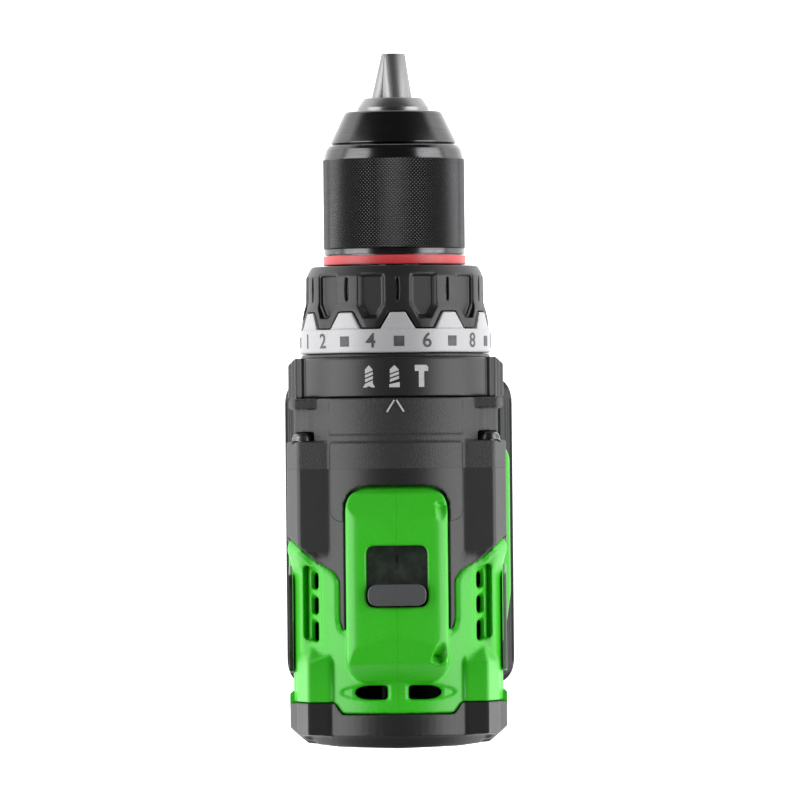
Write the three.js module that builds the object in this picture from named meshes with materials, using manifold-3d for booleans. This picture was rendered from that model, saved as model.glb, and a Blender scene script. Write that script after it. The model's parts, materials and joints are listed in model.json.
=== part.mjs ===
/**
 * Cordless hammer drill, standing on its battery.
 *
 * Units are millimetres. +Y runs forward along the spindle to the chuck's jaws, +X is the
 * operator's right and +Z is up. The origin lies on the surface the battery stands on,
 * under the middle of the drill. Pieces of the head are drawn in a frame whose Y axis is
 * the spindle's own axis. The battery's are drawn in a frame that lies on the ground.
 */
import * as THREE from 'three';
import { mergeVertices } from 'three/addons/utils/BufferGeometryUtils.js';
import Module from 'manifold-3d';

const wasm = await Module();
wasm.setup();

// ---------------------------------------------------------------- driving dimensions

const AXIS_HEIGHT = 186; // spindle axis above the ground
const LENGTH = 215; // jaw tips to the back of the rear cap
const FRONT_END = 107.5; // jaw tips, from the datum plane that every other place along Y uses
const REAR_END = FRONT_END - LENGTH;
const CAP_LENGTH = 10.6; // rear cap

const GAP = 0.3; // between fixed pieces that touch
const RUN = 0.4; // between pieces that move past each other
const COARSE = 14; // segments round a small circle
const FINE = 24; // segments round a large circle

const CHUCK = {
  jawR: 4.5,
  jawTilt: THREE.MathUtils.degToRad(13.1),
  jawLength: 36,
  jawMeet: 5.2, // behind the tips, where the three jaw axes cross
  jawTravel: 28.7,
  firstJaw: 70, // azimuth in degrees, from +X towards +Z
  nose: FRONT_END - 13.9,
  noseR: 8.9,
  noseBaseR: 11,
  coneFrontR: 15.4,
  coneStep: 2.4, // from the sleeve's radius down to the cone's rear edge
  coneLength: 10.3,
  coneSetBack: 4.1, // behind the nose
  sleeveR: 22,
  sleeveLength: 34.2,
  shoulder: 4.3,
  wall: 1.9,
  ringStep: 0.1, // the red ring stands proud of the sleeve by this much
  ringLength: 2.85,
  coreGap: 0.5, // between the core and the inside of the sleeve
  neckR: 14.5,
  boreR: 6.6,
  nutLength: 8.6,
};

const SPINDLE = {
  shaftR: 8,
  threadR: 6.35,
  threadLength: 11.2,
  bearingR: 14,
  bearingLength: 8,
};

const GEAR = {
  module: 0.75,
  sun: 12,
  planet: 18,
  ring: 48,
  planets: 3,
  firstFace: 7.4,
  secondFace: 7.2,
  addendum: 0.85, // tooth height above and below the pitch circle, in modules
  dedendum: 1.15,
  pinR: 2,
  pinWall: 1.35, // carrier plate outside its pins
  plate: 3,
  ringWall: 1.24, // ring gear outside its tooth roots
  tubeWall: 2.2, // housing tube outside the ring gear
};

const MOTOR = {
  statorR: 24.6,
  statorBoreR: 12.9,
  rotorR: 12.4,
  shaftR: 2.5,
  front: -56, // front face of the stator
  length: 24,
  fanR: 21,
  fanLength: 8.6,
  bearingR: 8,
  bearingLength: 4.2,
};

const COLLAR = {
  front: 41.4,
  frontR: 25.6,
  gripR: 27.6,
  rearR: 29.1,
  scaleR: 29.6,
  scaleBandRear: 14.4,
  scaleBandFront: 21.7,
  toothTip: 26.9,
  toothRootHalf: 5.4,
  toothTipHalf: 2.3,
  clicks: 21,
  teeth: 10,
  firstTooth: 2, // degrees right of the top
  boreR: 20.6,
};

const MODE_RING = { front: 13, rear: 0.8, r: 31, gripHalf: 33.4, gripHeight: 13 };

const HEAD = {
  halfWidth: 33.9,
  rearHalfWidth: 32.4,
  capHalfWidth: 33.7,
  topR: 31,
  tongueR: 32,
  tongueHalf: 20.4,
  tongueRear: -40.8,
  shoulderHalf: 30.4,
  shoulderZ: 21,
  sideTop: 12,
  sideBottom: -12,
  bottom: -33,
  bottomHalf: 20,
  flangeFront: -12.8,
  flangeRear: -21.4,
  barrelFront: 0.5,
  barrelR: 29,
  noseR: 24,
  capFront: REAR_END + CAP_LENGTH,
  screwX: 28.7, // the four gearbox screws, either side of the axis
  screwZ: 15.8,
  capScrewX: 28.3,
  waistStart: -44,
  waistEnd: -52,
};

const WALL = 2.6; // housing shell
const SKIN = 1.6; // soft overmould on it

const HUMP = { half: 15.7, top: 42, front: -27, frontTop: -37.7, rearTop: -73, rear: -88 };
const WINDOW = { half: 9.4, front: -45.1, rear: -63.8 };
const SLIDER = { plateTop: 33, plate: 2, knobLength: 6.6, knobRise: 10.2, travel: 11.5 };

const FOOT_JOINT = 62; // height of the plane where the handle meets the foot
const HANDLE = {
  top: -28, // both ends and every height below them are measured from the spindle axis
  bottom: FOOT_JOINT - AXIS_HEIGHT,
  // front, back and half width at equally spaced heights from the top down
  stations: [
    [-29, -80, 18],
    [-31, -76, 17],
    [-33, -74.5, 15.6],
    [-36, -76, 15.8],
    [-38, -82, 17.5],
  ],
  squareness: 2.6,
};

const FOOT = { bottom: 50.3, top: 70, half: 35.6, front: -7, rear: -84, floor: 62.4 };
const TRIGGER = { half: 8.6, top: -42, bottom: -68, front: -15.5, rear: -36, travel: 7 };
const LEVER = { half: 20.5, front: -38, rear: -46, top: -36, bottom: -40, travel: 2.5 };
const SWITCH = { half: 9, front: -44, rear: -66, top: -41.5, bottom: -67 };
const CHIN = { half: 8, front: -14, drop: 5 };

const BATTERY = {
  half: 36.65,
  front: 9,
  rear: -91,
  top: 50,
  split: 27,
  corner: 9,
  wall: 2.4,
  cellR: 9.15,
  cellHalf: 32.4,
};
const RAIL = { neck: 17, head: 21, lip: 55.5, top: 59.5, front: -14, rear: -78 };
const LATCH = { half: 30, front: 7, rear: -14, plate: 5.6, travel: 3.5, hookHalf: 2, hookAt: 27 };

// ---------------------------------------------------------------- shape helpers

const AXES = {
  X: new THREE.Matrix4().makeBasis(
    new THREE.Vector3(0, 1, 0),
    new THREE.Vector3(0, 0, 1),
    new THREE.Vector3(1, 0, 0),
  ),
  Y: new THREE.Matrix4().makeBasis(
    new THREE.Vector3(1, 0, 0),
    new THREE.Vector3(0, 0, 1),
    new THREE.Vector3(0, -1, 0),
  ),
  Z: new THREE.Matrix4(),
};

/** A manifold solid from a closed three.js geometry. */
function solid(geometry) {
  const bare = geometry.clone();
  bare.deleteAttribute('normal');
  bare.deleteAttribute('uv');
  const merged = mergeVertices(bare, 1e-4);
  const corners = merged.index.array;
  const triVerts = [];
  for (let i = 0; i < corners.length; i += 3) {
    const [a, b, c] = corners.slice(i, i + 3);
    if (a !== b && b !== c && c !== a) triVerts.push(a, b, c);
  }
  return new wasm.Manifold(
    new wasm.Mesh({
      numProp: 3,
      vertProperties: merged.attributes.position.array,
      triVerts: Uint32Array.from(triVerts),
    }),
  );
}

/** The three.js geometry of a manifold solid. */
function geometryOf(body) {
  const mesh = body.getMesh();
  const geometry = new THREE.BufferGeometry();
  geometry.setAttribute('position', new THREE.BufferAttribute(mesh.vertProperties, 3));
  geometry.setIndex(new THREE.BufferAttribute(mesh.triVerts, 1));
  return geometry;
}

/** Joins solids into one. */
function join(...bodies) {
  return bodies.reduce((all, body) => all.add(body));
}

/** Cuts every tool from a solid. */
function cut(body, ...tools) {
  return tools.reduce((left, tool) => left.subtract(tool), body);
}

/** A shape from a list of [x, y] corners. */
function outline(corners) {
  return new THREE.Shape(corners.map(([x, y]) => new THREE.Vector2(x, y)));
}

/** The corners of a half outline, from bottom to top on the +x side, with its mirror image. */
function mirrored(half) {
  const other = half.map(([x, y]) => [-x, y]).reverse();
  return half.concat(other.filter(([x]) => x !== 0));
}

/** Moves every edge of a counter-clockwise outline inward, or outward if negative. */
function inset(corners, distance) {
  const count = corners.length;
  return corners.map((corner, i) => {
    const before = corners[(i + count - 1) % count];
    const after = corners[(i + 1) % count];
    const a = new THREE.Vector2(corner[0] - before[0], corner[1] - before[1]).normalize();
    const b = new THREE.Vector2(after[0] - corner[0], after[1] - corner[1]).normalize();
    const spread = 1 + a.dot(b);
    const x = corner[0] - ((a.y + b.y) * distance) / spread;
    const y = corner[1] + ((a.x + b.x) * distance) / spread;
    return [x, y];
  });
}

/** Extrudes a shape along an axis. Its own x and y lie on the next two of X, Y, Z in order. */
function prism(shape, axis, from, to) {
  const drawn = shape instanceof THREE.Shape ? shape : outline(shape);
  const options = { depth: to - from, bevelEnabled: false, curveSegments: 3 };
  const geometry = new THREE.ExtrudeGeometry(drawn, options);
  geometry.applyMatrix4(AXES[axis]);
  const start = axis === 'Y' ? to : from;
  const shift = { X: [start, 0, 0], Y: [0, start, 0], Z: [0, 0, start] }[axis];
  return solid(geometry.translate(...shift));
}

/** A box between two corners. */
function box(x0, x1, y0, y1, z0, z1) {
  const geometry = new THREE.BoxGeometry(x1 - x0, y1 - y0, z1 - z0);
  return solid(geometry.translate((x0 + x1) / 2, (y0 + y1) / 2, (z0 + z1) / 2));
}

/** A round bar along an axis through a point given by its two other coordinates. */
function bar(radius, axis, from, to, u = 0, v = 0, segments = COARSE) {
  const circle = new THREE.Shape();
  for (let i = 0; i < segments; i += 1) {
    const angle = (i / segments) * 2 * Math.PI;
    const x = u + radius * Math.cos(angle);
    const y = v + radius * Math.sin(angle);
    if (i === 0) circle.moveTo(x, y);
    else circle.lineTo(x, y);
  }
  return prism(circle, axis, from, to);
}

/** Turns [radius, y] corners round the spindle axis. A ring's corners run clockwise. */
function turned(corners, segments = FINE) {
  const onAxis = corners[0][0] === 0 && corners[corners.length - 1][0] === 0;
  const closed = onAxis ? corners : corners.concat([corners[0]]);
  const points = closed.map(([r, y]) => new THREE.Vector2(r, y));
  const body = solid(new THREE.LatheGeometry(points, segments));
  return body;
}

/** A plain ring round the spindle axis. */
function ring(inner, outer, from, to, segments = FINE) {
  return turned([[inner, from], [outer, from], [outer, to], [inner, to]], segments);
}

/** A rounded rectangle with its centre at x, y. */
function roundedBox(x, y, halfX, halfY, radius) {
  const shape = new THREE.Shape();
  shape.absarc(x + halfX - radius, y - halfY + radius, radius, -Math.PI / 2, 0);
  shape.absarc(x + halfX - radius, y + halfY - radius, radius, 0, Math.PI / 2);
  shape.absarc(x - halfX + radius, y + halfY - radius, radius, Math.PI / 2, Math.PI);
  shape.absarc(x - halfX + radius, y - halfY + radius, radius, Math.PI, 1.5 * Math.PI);
  return shape;
}

/** Degrees to radians. */
const rad = THREE.MathUtils.degToRad;

/** A solid turned about the spindle axis, from +X towards +Z. */
function spun(body, degrees) {
  return body.rotate([0, -degrees, 0]);
}

const root = new THREE.Group();
const head = new THREE.Group();
head.position.set(0, LENGTH / 2 - FRONT_END, AXIS_HEIGHT);
const base = new THREE.Group();
base.position.y = LENGTH / 2 - FRONT_END;
root.add(head, base);

const FINISH = {
  steel: { color: 0xb9babc, roughness: 0.3, metalness: 1 },
  darkSteel: { color: 0x55565a, roughness: 0.4, metalness: 1 },
  blackMetal: { color: 0x2a2a2c, roughness: 0.35, metalness: 0.8 },
  red: { color: 0xc83c3c, roughness: 0.4, metalness: 0.2 },
  black: { color: 0x2c2c2e, roughness: 0.6, metalness: 0 },
  soft: { color: 0x262628, roughness: 0.8, metalness: 0 },
  green: { color: 0x32be28, roughness: 0.45, metalness: 0 },
  silver: { color: 0xd7d7da, roughness: 0.4, metalness: 0.4 },
  grey: { color: 0x77797c, roughness: 0.5, metalness: 0 },
  copper: { color: 0xb06a38, roughness: 0.4, metalness: 0.9 },
  clear: { color: 0xe8eef2, roughness: 0.1, metalness: 0 },
};

/** Adds a solid to a group as a named mesh. */
function piece(group, name, body, finish) {
  const material = new THREE.MeshStandardMaterial(FINISH[finish]);
  const mesh = new THREE.Mesh(geometryOf(body), material);
  mesh.name = name;
  group.add(mesh);
}

// ---------------------------------------------------------------- chuck

const sleeveInnerR = CHUCK.sleeveR - CHUCK.wall;
const coreR = sleeveInnerR - CHUCK.coreGap;
const coneRearR = CHUCK.sleeveR - CHUCK.coneStep;
const coneFront = CHUCK.nose - CHUCK.coneSetBack;
const sleeveFront = coneFront - CHUCK.coneLength - GAP;
const sleeveRear = sleeveFront - CHUCK.sleeveLength + GAP;
const ringFront = sleeveRear - GAP;
const ringRear = ringFront - CHUCK.ringLength;
const coreRear = ringRear + 0.45;
const nutRear = sleeveFront - CHUCK.shoulder - CHUCK.nutLength - 0.5;
const nutFront = nutRear + CHUCK.nutLength;
const meetY = FRONT_END - CHUCK.jawMeet;
const spindleFront = coreRear + SPINDLE.threadLength;
const webFront = spindleFront + GAP + 2.7;

/** A bar on the inclined axis of the jaw at azimuth 0, between two distances back from the tips. */
function jawBar(radius, from, to) {
  const rod = new THREE.CylinderGeometry(radius, radius, to - from, COARSE);
  const middle = (from + to) / 2 - CHUCK.jawMeet / Math.cos(CHUCK.jawTilt);
  rod.rotateZ(CHUCK.jawTilt);
  rod.translate(middle * Math.sin(CHUCK.jawTilt), meetY - middle * Math.cos(CHUCK.jawTilt), 0);
  return solid(rod);
}

/** One jaw: a bar cut to a third of the circle, so that three close on a point. */
function jaw() {
  const apex = GAP / 2 / Math.sin(rad(60));
  const reach = 40;
  const side = reach * Math.tan(rad(60));
  const third = [[apex, 0], [reach + apex, -side], [reach + apex, side]];
  return jawBar(CHUCK.jawR, 0, CHUCK.jawLength).intersect(prism(third, 'Y', 0, FRONT_END));
}

/** The steel core that carries the jaws in three inclined bores. */
function chuckBody() {
  const neckFront = coneFront - 3.5;
  const core = turned([
    [SPINDLE.threadR + GAP, coreRear],
    [coreR, coreRear],
    [coreR, nutRear - RUN],
    [CHUCK.neckR - 1.7, nutRear - RUN],
    [CHUCK.neckR - 1.7, nutFront + RUN],
    [CHUCK.neckR, nutFront + RUN],
    [CHUCK.neckR, neckFront],
    [CHUCK.noseBaseR, neckFront + 1.5],
    [CHUCK.noseBaseR, coneFront + 0.3],
    [CHUCK.noseR, CHUCK.nose],
    [CHUCK.boreR, CHUCK.nose],
    [CHUCK.boreR, webFront],
    [2.8, webFront],
    [2.8, spindleFront + GAP],
    [SPINDLE.threadR + GAP, spindleFront + GAP],
  ]);
  const bore = jawBar(CHUCK.jawR + 0.35, -10, CHUCK.jawLength + CHUCK.jawTravel + 8);
  const bores = [0, 120, 240].map((turn) => spun(bore, CHUCK.firstJaw + turn));
  return cut(core, ...bores);
}

/** The knurled outer sleeve, with a shoulder in front that holds the nut. */
function chuckSleeve() {
  return turned([
    [sleeveInnerR, sleeveRear],
    [CHUCK.sleeveR, sleeveRear],
    [CHUCK.sleeveR, sleeveFront - CHUCK.shoulder],
    [CHUCK.sleeveR - 0.4, sleeveFront - CHUCK.shoulder + 0.2],
    [coneRearR + 0.5, sleeveFront],
    [CHUCK.neckR + RUN, sleeveFront],
    [CHUCK.neckR + RUN, nutFront + RUN],
    [sleeveInnerR, nutFront + RUN],
  ]);
}

/** The black cone that covers the front of the sleeve. */
function chuckCone() {
  const rear = sleeveFront + GAP;
  const neckFront = coneFront - 3.5;
  return turned([
    [CHUCK.neckR + RUN, rear],
    [coneRearR, rear],
    [CHUCK.coneFrontR, coneFront],
    [CHUCK.noseBaseR + RUN, coneFront],
    [CHUCK.noseBaseR + RUN, neckFront + 2],
    [CHUCK.neckR + RUN, neckFront + RUN],
  ]);
}

/** The screw at the bottom of the chuck that locks it to the spindle. */
function chuckScrew() {
  const seat = webFront + GAP;
  return turned([
    [0, spindleFront - 9],
    [2.5, spindleFront - 9],
    [2.5, seat],
    [4.5, seat],
    [4.5, seat + 3],
    [0, seat + 3],
  ], COARSE);
}

for (let i = 0; i < 3; i += 1) {
  piece(head, `chuck_jaw_${i + 1}`, spun(jaw(), CHUCK.firstJaw + 120 * i), 'steel');
}
piece(head, 'chuck_body', chuckBody(), 'steel');
piece(head, 'chuck_sleeve', chuckSleeve(), 'blackMetal');
piece(head, 'chuck_front_cone', chuckCone(), 'blackMetal');
const nutInnerR = CHUCK.neckR - 0.9;
const nutOuterR = sleeveInnerR - GAP;
piece(head, 'chuck_jaw_nut', ring(nutInnerR, nutOuterR, nutRear, nutFront), 'darkSteel');
const rearRing = ring(coreR + GAP, CHUCK.sleeveR + CHUCK.ringStep, ringRear, ringFront);
piece(head, 'chuck_rear_ring', rearRing, 'red');
piece(head, 'chuck_screw', chuckScrew(), 'darkSteel');

// ---------------------------------------------------------------- gearbox

const orbit = (GEAR.module * (GEAR.sun + GEAR.planet)) / 2;
const carrierR = orbit + GEAR.pinR + GEAR.pinWall;
const ringGearR = GEAR.module * (GEAR.ring / 2 + GEAR.dedendum) + GEAR.ringWall;
const gearTubeR = ringGearR + GAP + GEAR.tubeWall;
const firstRear = -46;
const firstPlate = firstRear + GEAR.firstFace + RUN;
const secondRear = firstPlate + GEAR.plate + RUN;
const spindlePlate = secondRear + GEAR.secondFace + RUN;
const plateRear = -52;
const plateFront = plateRear + 4;

/** The corners of a spur gear. A ring's teeth point inward and have the same phase. */
function gearCorners(teeth, phase = 0, inward = false) {
  const sign = inward ? -1 : 1;
  const tip = GEAR.module * (teeth / 2 + GEAR.addendum * sign);
  const rootR = GEAR.module * (teeth / 2 - GEAR.dedendum * sign);
  const corners = [];
  for (let i = 0; i < teeth; i += 1) {
    for (const [radius, share] of [[rootR, -0.31], [tip, -0.12], [tip, 0.12], [rootR, 0.31]]) {
      const angle = rad(phase) + ((i + share) / teeth) * 2 * Math.PI;
      corners.push([radius * Math.cos(angle), radius * Math.sin(angle)]);
    }
  }
  return corners;
}

/** One planet gear of a stage, at azimuth 0, with a bore for its pin. */
function planet(from, to) {
  const gear = prism(gearCorners(GEAR.planet, 180 / GEAR.planet), 'Y', from, to);
  const bore = bar(GEAR.pinR + 0.35, 'Y', from - 1, to + 1, 0, 0, 10);
  return gear.subtract(bore).translate([orbit, 0, 0]);
}

/** A carrier's plate and the pins its planets turn on. */
function carrier(plateFrom, pinsFrom) {
  const plate = bar(carrierR, 'Y', plateFrom, plateFrom + GEAR.plate, 0, 0, 24);
  const pin = bar(GEAR.pinR, 'Y', pinsFrom, plateFrom + 1, orbit, 0, 10);
  return join(plate, ...[0, 120, 240].map((turn) => spun(pin, turn)));
}

/** The output spindle: second carrier, shaft and chuck thread in one piece. */
function spindle() {
  const plateFace = spindlePlate + GEAR.plate;
  const shaft = turned([
    [0, plateFace - 1],
    [SPINDLE.shaftR, plateFace - 1],
    [SPINDLE.shaftR, coreRear - RUN],
    [SPINDLE.threadR, coreRear],
    [SPINDLE.threadR, spindleFront],
    [2.8, spindleFront],
    [2.8, spindleFront - 10],
    [0, spindleFront - 10],
  ], 20);
  return join(carrier(spindlePlate, secondRear), shaft);
}

/** The ring gear that both stages run in. */
function ringGear() {
  const to = spindlePlate + GEAR.plate;
  const blank = bar(ringGearR, 'Y', plateFront + GAP, to, 0, 0, 24);
  return blank.subtract(prism(gearCorners(GEAR.ring, 0, true), 'Y', plateFront - 1, to + 1));
}

const firstSun = prism(gearCorners(GEAR.sun), 'Y', firstRear, firstRear + GEAR.firstFace);
const shaftBore = bar(MOTOR.shaftR + GAP, 'Y', firstRear - 10, firstRear + 20, 0, 0, 16);
const secondSun = prism(
  gearCorners(GEAR.sun),
  'Y',
  firstPlate + GEAR.plate - 1,
  spindlePlate - RUN,
);
for (let i = 0; i < GEAR.planets; i += 1) {
  const turn = (360 / GEAR.planets) * i;
  const first = planet(firstRear, firstRear + GEAR.firstFace);
  const second = planet(secondRear, secondRear + GEAR.secondFace);
  piece(head, `first_planet_${i + 1}`, spun(first, turn), 'darkSteel');
  piece(head, `second_planet_${i + 1}`, spun(second, turn), 'darkSteel');
}
piece(head, 'first_carrier', join(carrier(firstPlate, firstRear), secondSun), 'steel');
piece(head, 'spindle', spindle(), 'steel');
piece(head, 'ring_gear', ringGear(), 'darkSteel');

const snoutFront = COLLAR.front - 2.8;
const snoutR = SPINDLE.bearingR + GAP + 2.5;
const bearingRear = snoutFront - SPINDLE.bearingLength - 1;

/** The section of the head that every piece of its outer case follows. */
function headSection() {
  const arc = [];
  const edge = Math.asin(HEAD.tongueHalf / HEAD.topR);
  const steps = 2;
  for (let i = 0; i <= steps; i += 1) {
    const angle = edge * (1 - i / steps);
    const x = i === steps ? 0 : HEAD.topR * Math.sin(angle);
    arc.push([x, HEAD.topR * Math.cos(angle)]);
  }
  return mirrored([
    [HEAD.bottomHalf, HEAD.bottom],
    [HEAD.shoulderHalf, HEAD.bottom + 11],
    [HEAD.halfWidth, HEAD.sideBottom],
    [HEAD.halfWidth, HEAD.sideTop],
    [HEAD.shoulderHalf, HEAD.shoulderZ],
    ...arc,
  ]);
}

/** The raised tongue on top of the head, between two planes across the axis. */
function tongue(from, to) {
  const round = bar(HEAD.tongueR, 'Y', from, to, 0, 0, 32);
  const slab = box(-HEAD.tongueHalf, HEAD.tongueHalf, from, to, 10, 40);
  return round.intersect(slab);
}

/** Where the four gearbox screws stand, as [x, z]. */
const gearboxScrews = [[1, 1], [-1, 1], [1, -1], [-1, -1]]
  .map(([x, z]) => [HEAD.screwX * x, HEAD.screwZ * z]);

/** The black gearbox housing: rear tube, square flange, barrel and the snout of the collars. */
function gearboxHousing() {
  const { flangeFront, flangeRear, barrelFront, barrelR, noseR } = HEAD;
  const tube = bar(gearTubeR, 'Y', plateFront + GAP, flangeRear + 1, 0, 0, FINE);
  const flange = prism(headSection(), 'Y', flangeRear, flangeFront);
  const barrel = bar(barrelR, 'Y', flangeFront - 1, barrelFront, 0, 0, 24);
  const nose = bar(noseR, 'Y', barrelFront - 1, MODE_RING.front + 0.4, 0, 0, FINE);
  const snout = bar(snoutR, 'Y', MODE_RING.front, snoutFront, 0, 0, FINE);
  const ears = [1, -1].flatMap((x) => [1, -1].map((z) => {
    const ear = box(24, 33, barrelFront - 3, barrelFront, 9, 19);
    const rib = box(29.4, 31, flangeFront - 1, barrelFront - 1, 9.6, 11.4);
    return join(ear, rib).scale([x, 1, z]);
  }));
  const bore = turned([
    [0, plateRear - 1],
    [ringGearR + GAP, plateRear - 1],
    [ringGearR + GAP, spindlePlate + GEAR.plate + GAP],
    [carrierR + 2.9, spindlePlate + GEAR.plate + GAP],
    [carrierR + 2.9, -2],
    [SPINDLE.shaftR + 1, -2],
    [SPINDLE.shaftR + 1, bearingRear - GAP],
    [SPINDLE.bearingR + GAP, bearingRear - GAP],
    [SPINDLE.bearingR + GAP, snoutFront + 1],
    [0, snoutFront + 1],
  ]);
  const holes = gearboxScrews.map(([x, z]) => bar(1.9, 'Y', flangeRear - 1, flangeFront + 1, x, z, 12));
  const whole = join(tube, flange, barrel, nose, snout, tongue(flangeRear, barrelFront), ...ears);
  return cut(whole, bore, ...holes);
}

/** A pan-head screw along Y with the underside of its head at `seat`, pointing back. */
function panScrew(seat, length, x, z, headR = 3.1, headLength = 2.4, shankR = 1.6) {
  const under = seat + GAP;
  const shank = bar(shankR, 'Y', under - length, under + 1, x, z, 12);
  return join(shank, bar(headR, 'Y', under, under + headLength, x, z, 16));
}

piece(head, 'gearbox_housing', gearboxHousing(), 'black');
gearboxScrews.forEach(([x, z], i) => {
  piece(head, `gearbox_screw_${i + 1}`, panScrew(HEAD.flangeFront, 20, x, z), 'darkSteel');
});
const endPlate = ring(MOTOR.bearingR + GAP, gearTubeR - 0.2, plateRear, plateFront);
piece(head, 'gearbox_end_plate', endPlate, 'grey');
piece(
  head,
  'spindle_front_bearing',
  ring(SPINDLE.shaftR + 0.2, SPINDLE.bearingR, bearingRear, snoutFront - 1),
  'steel',
);

// ---------------------------------------------------------------- motor

const motorRear = MOTOR.front - MOTOR.length;
const fanFront = motorRear - 4;
const rearBearingFront = REAR_END + 11;

/** The laminated stator, with six slots for its windings. */
function stator() {
  const stack = ring(MOTOR.statorBoreR, MOTOR.statorR, motorRear, MOTOR.front, 24);
  const slot = box(MOTOR.statorBoreR + 1.6, MOTOR.statorR - 3.4, motorRear - 1, MOTOR.front + 1, -3.2, 3.2);
  return cut(stack, ...[0, 60, 120, 180, 240, 300].map((turn) => spun(slot, turn)));
}

/** The fan behind the motor: a disc, a hub and straight blades. */
function fan() {
  const { fanR, fanLength, shaftR } = MOTOR;
  const rear = fanFront - fanLength;
  const disc = ring(shaftR + GAP, fanR, fanFront - 1.6, fanFront, FINE);
  const hub = ring(shaftR + GAP, 6, rear, fanFront, COARSE);
  const blade = box(5.4, fanR - 0.6, rear + 0.6, fanFront - 1, -0.6, 0.6);
  const blades = Array.from({ length: 7 }, (_, i) => spun(blade, (360 / 7) * i));
  return join(disc, hub, ...blades);
}

piece(head, 'stator', stator(), 'darkSteel');
const rotorRear = motorRear - 1;
const rotorFront = MOTOR.front + 1;
piece(head, 'rotor', ring(MOTOR.shaftR + GAP, MOTOR.rotorR, rotorRear, rotorFront, FINE), 'steel');
const shaftFront = firstRear + GEAR.firstFace - 0.4;
piece(head, 'motor_shaft', bar(MOTOR.shaftR, 'Y', REAR_END + 5.5, shaftFront, 0, 0, 16), 'steel');
piece(head, 'motor_pinion', firstSun.subtract(shaftBore), 'steel');
piece(head, 'fan', fan(), 'black');
for (const [name, from] of [
  ['motor_front_bearing', plateRear - 0.4],
  ['motor_rear_bearing', rearBearingFront - MOTOR.bearingLength],
]) {
  const race = ring(MOTOR.shaftR + GAP, MOTOR.bearingR, from, from + MOTOR.bearingLength, COARSE);
  piece(head, name, race, 'steel');
}

// ---------------------------------------------------------------- collars

const toothPitch = (2 * 360) / COLLAR.clicks;

/** The azimuths of the scale ring's teeth. */
const toothAngles = Array.from(
  { length: COLLAR.teeth },
  (_, i) => 90 - COLLAR.firstTooth - toothPitch * (i - COLLAR.teeth / 2 + 1),
);

/** The radial prisms of the teeth, each grown by a clearance. */
function toothPrisms(grow) {
  const { toothRootHalf, toothTipHalf, scaleBandFront, toothTip } = COLLAR;
  const corners = [
    [-toothRootHalf - grow, scaleBandFront - 1],
    [toothRootHalf + grow, scaleBandFront - 1],
    [toothRootHalf + grow, scaleBandFront + grow],
    [toothTipHalf + grow, toothTip + grow],
    [-toothTipHalf - grow, toothTip + grow],
    [-toothRootHalf - grow, scaleBandFront + grow],
  ];
  const tooth = prism(corners, 'Z', 25 - grow, 34);
  return toothAngles.map((angle) => spun(tooth, angle - 90));
}

/** The silver ring that carries the torque scale, with teeth that lock into the grip. */
function scaleRing() {
  const { scaleR, scaleBandRear, scaleBandFront, toothTip } = COLLAR;
  const band = ring(25, scaleR, scaleBandRear, scaleBandFront, 32);
  const crown = ring(25, scaleR, scaleBandFront - 0.5, toothTip, 32);
  return join(band, ...toothPrisms(0).map((tooth) => crown.intersect(tooth)));
}

/** The rubber grip of the torque collar, with a recessed panel between every two teeth. */
function torqueGrip() {
  const { boreR, front, frontR, gripR, rearR, scaleBandFront } = COLLAR;
  const blank = turned([
    [boreR, scaleBandFront + GAP],
    [rearR, scaleBandFront + GAP],
    [rearR - 0.4, scaleBandFront + 5],
    [gripR, scaleBandFront + 8],
    [gripR, front - 3],
    [frontR, front],
    [SPINDLE.shaftR + 3, front],
    [SPINDLE.shaftR + 3, front - 2],
    [boreR, front - 2],
  ], 32);
  const panel = box(-4, 4, scaleBandFront + 3.5, front - 2.6, gripR - 1.3, 34);
  const panels = toothAngles.slice(1).map((angle) => spun(panel, angle - 90 + toothPitch / 2));
  return cut(blank, ...toothPrisms(GAP), ...panels);
}

/** The clutch spring round the snout, at its middle setting. */
function clutchSpring() {
  const turns = 4;
  const coilR = 19.2;
  const start = MODE_RING.front + 2;
  const points = Array.from({ length: turns * 12 + 1 }, (_, i) => {
    const angle = rad(30 * i);
    return new THREE.Vector3(coilR * Math.cos(angle), start + 0.28 * i, coilR * Math.sin(angle));
  });
  const wire = new THREE.Shape();
  wire.absarc(0, 0, 1, 0, 2 * Math.PI);
  const options = { steps: turns * 12, curveSegments: 2, extrudePath: new THREE.CatmullRomCurve3(points) };
  return solid(new THREE.ExtrudeGeometry(wire, options));
}

/** The mode ring, with a stepped grip on each side. */
function modeRing() {
  const { front, rear, r, gripHalf, gripHeight } = MODE_RING;
  const band = bar(r, 'Y', rear, front, 0, 0, 32);
  const grip = box(-gripHalf, gripHalf, rear, front, -gripHeight, gripHeight);
  return join(band, grip).subtract(bar(HEAD.noseR + RUN, 'Y', rear - 1, front + 1, 0, 0, FINE));
}

piece(head, 'torque_scale_ring', scaleRing(), 'silver');
piece(head, 'torque_grip', torqueGrip(), 'soft');
piece(head, 'clutch_spring', clutchSpring(), 'steel');
piece(head, 'mode_ring', modeRing(), 'black');

// ---------------------------------------------------------------- outer case

/** The corners of the head's case seen from above. */
function headPlan(rear) {
  return mirrored([
    [HEAD.rearHalfWidth, rear],
    [HEAD.rearHalfWidth, HEAD.waistEnd],
    [HEAD.halfWidth, HEAD.waistStart],
    [HEAD.halfWidth, HEAD.flangeRear - GAP],
  ]);
}

/** The head's part of the case, grown inward by a thickness. */
function headForm(thickness) {
  const rear = HEAD.capFront + GAP;
  const front = HEAD.flangeRear - GAP;
  const section = prism(inset(headSection(), thickness), 'Y', rear - 5, front + 5);
  const plan = prism(inset(headPlan(rear), thickness), 'Z', -60, 60);
  const rise = tongue(HEAD.tongueRear, front).translate([0, 0, -thickness]);
  return join(section.intersect(plan), rise.intersect(plan));
}

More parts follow.
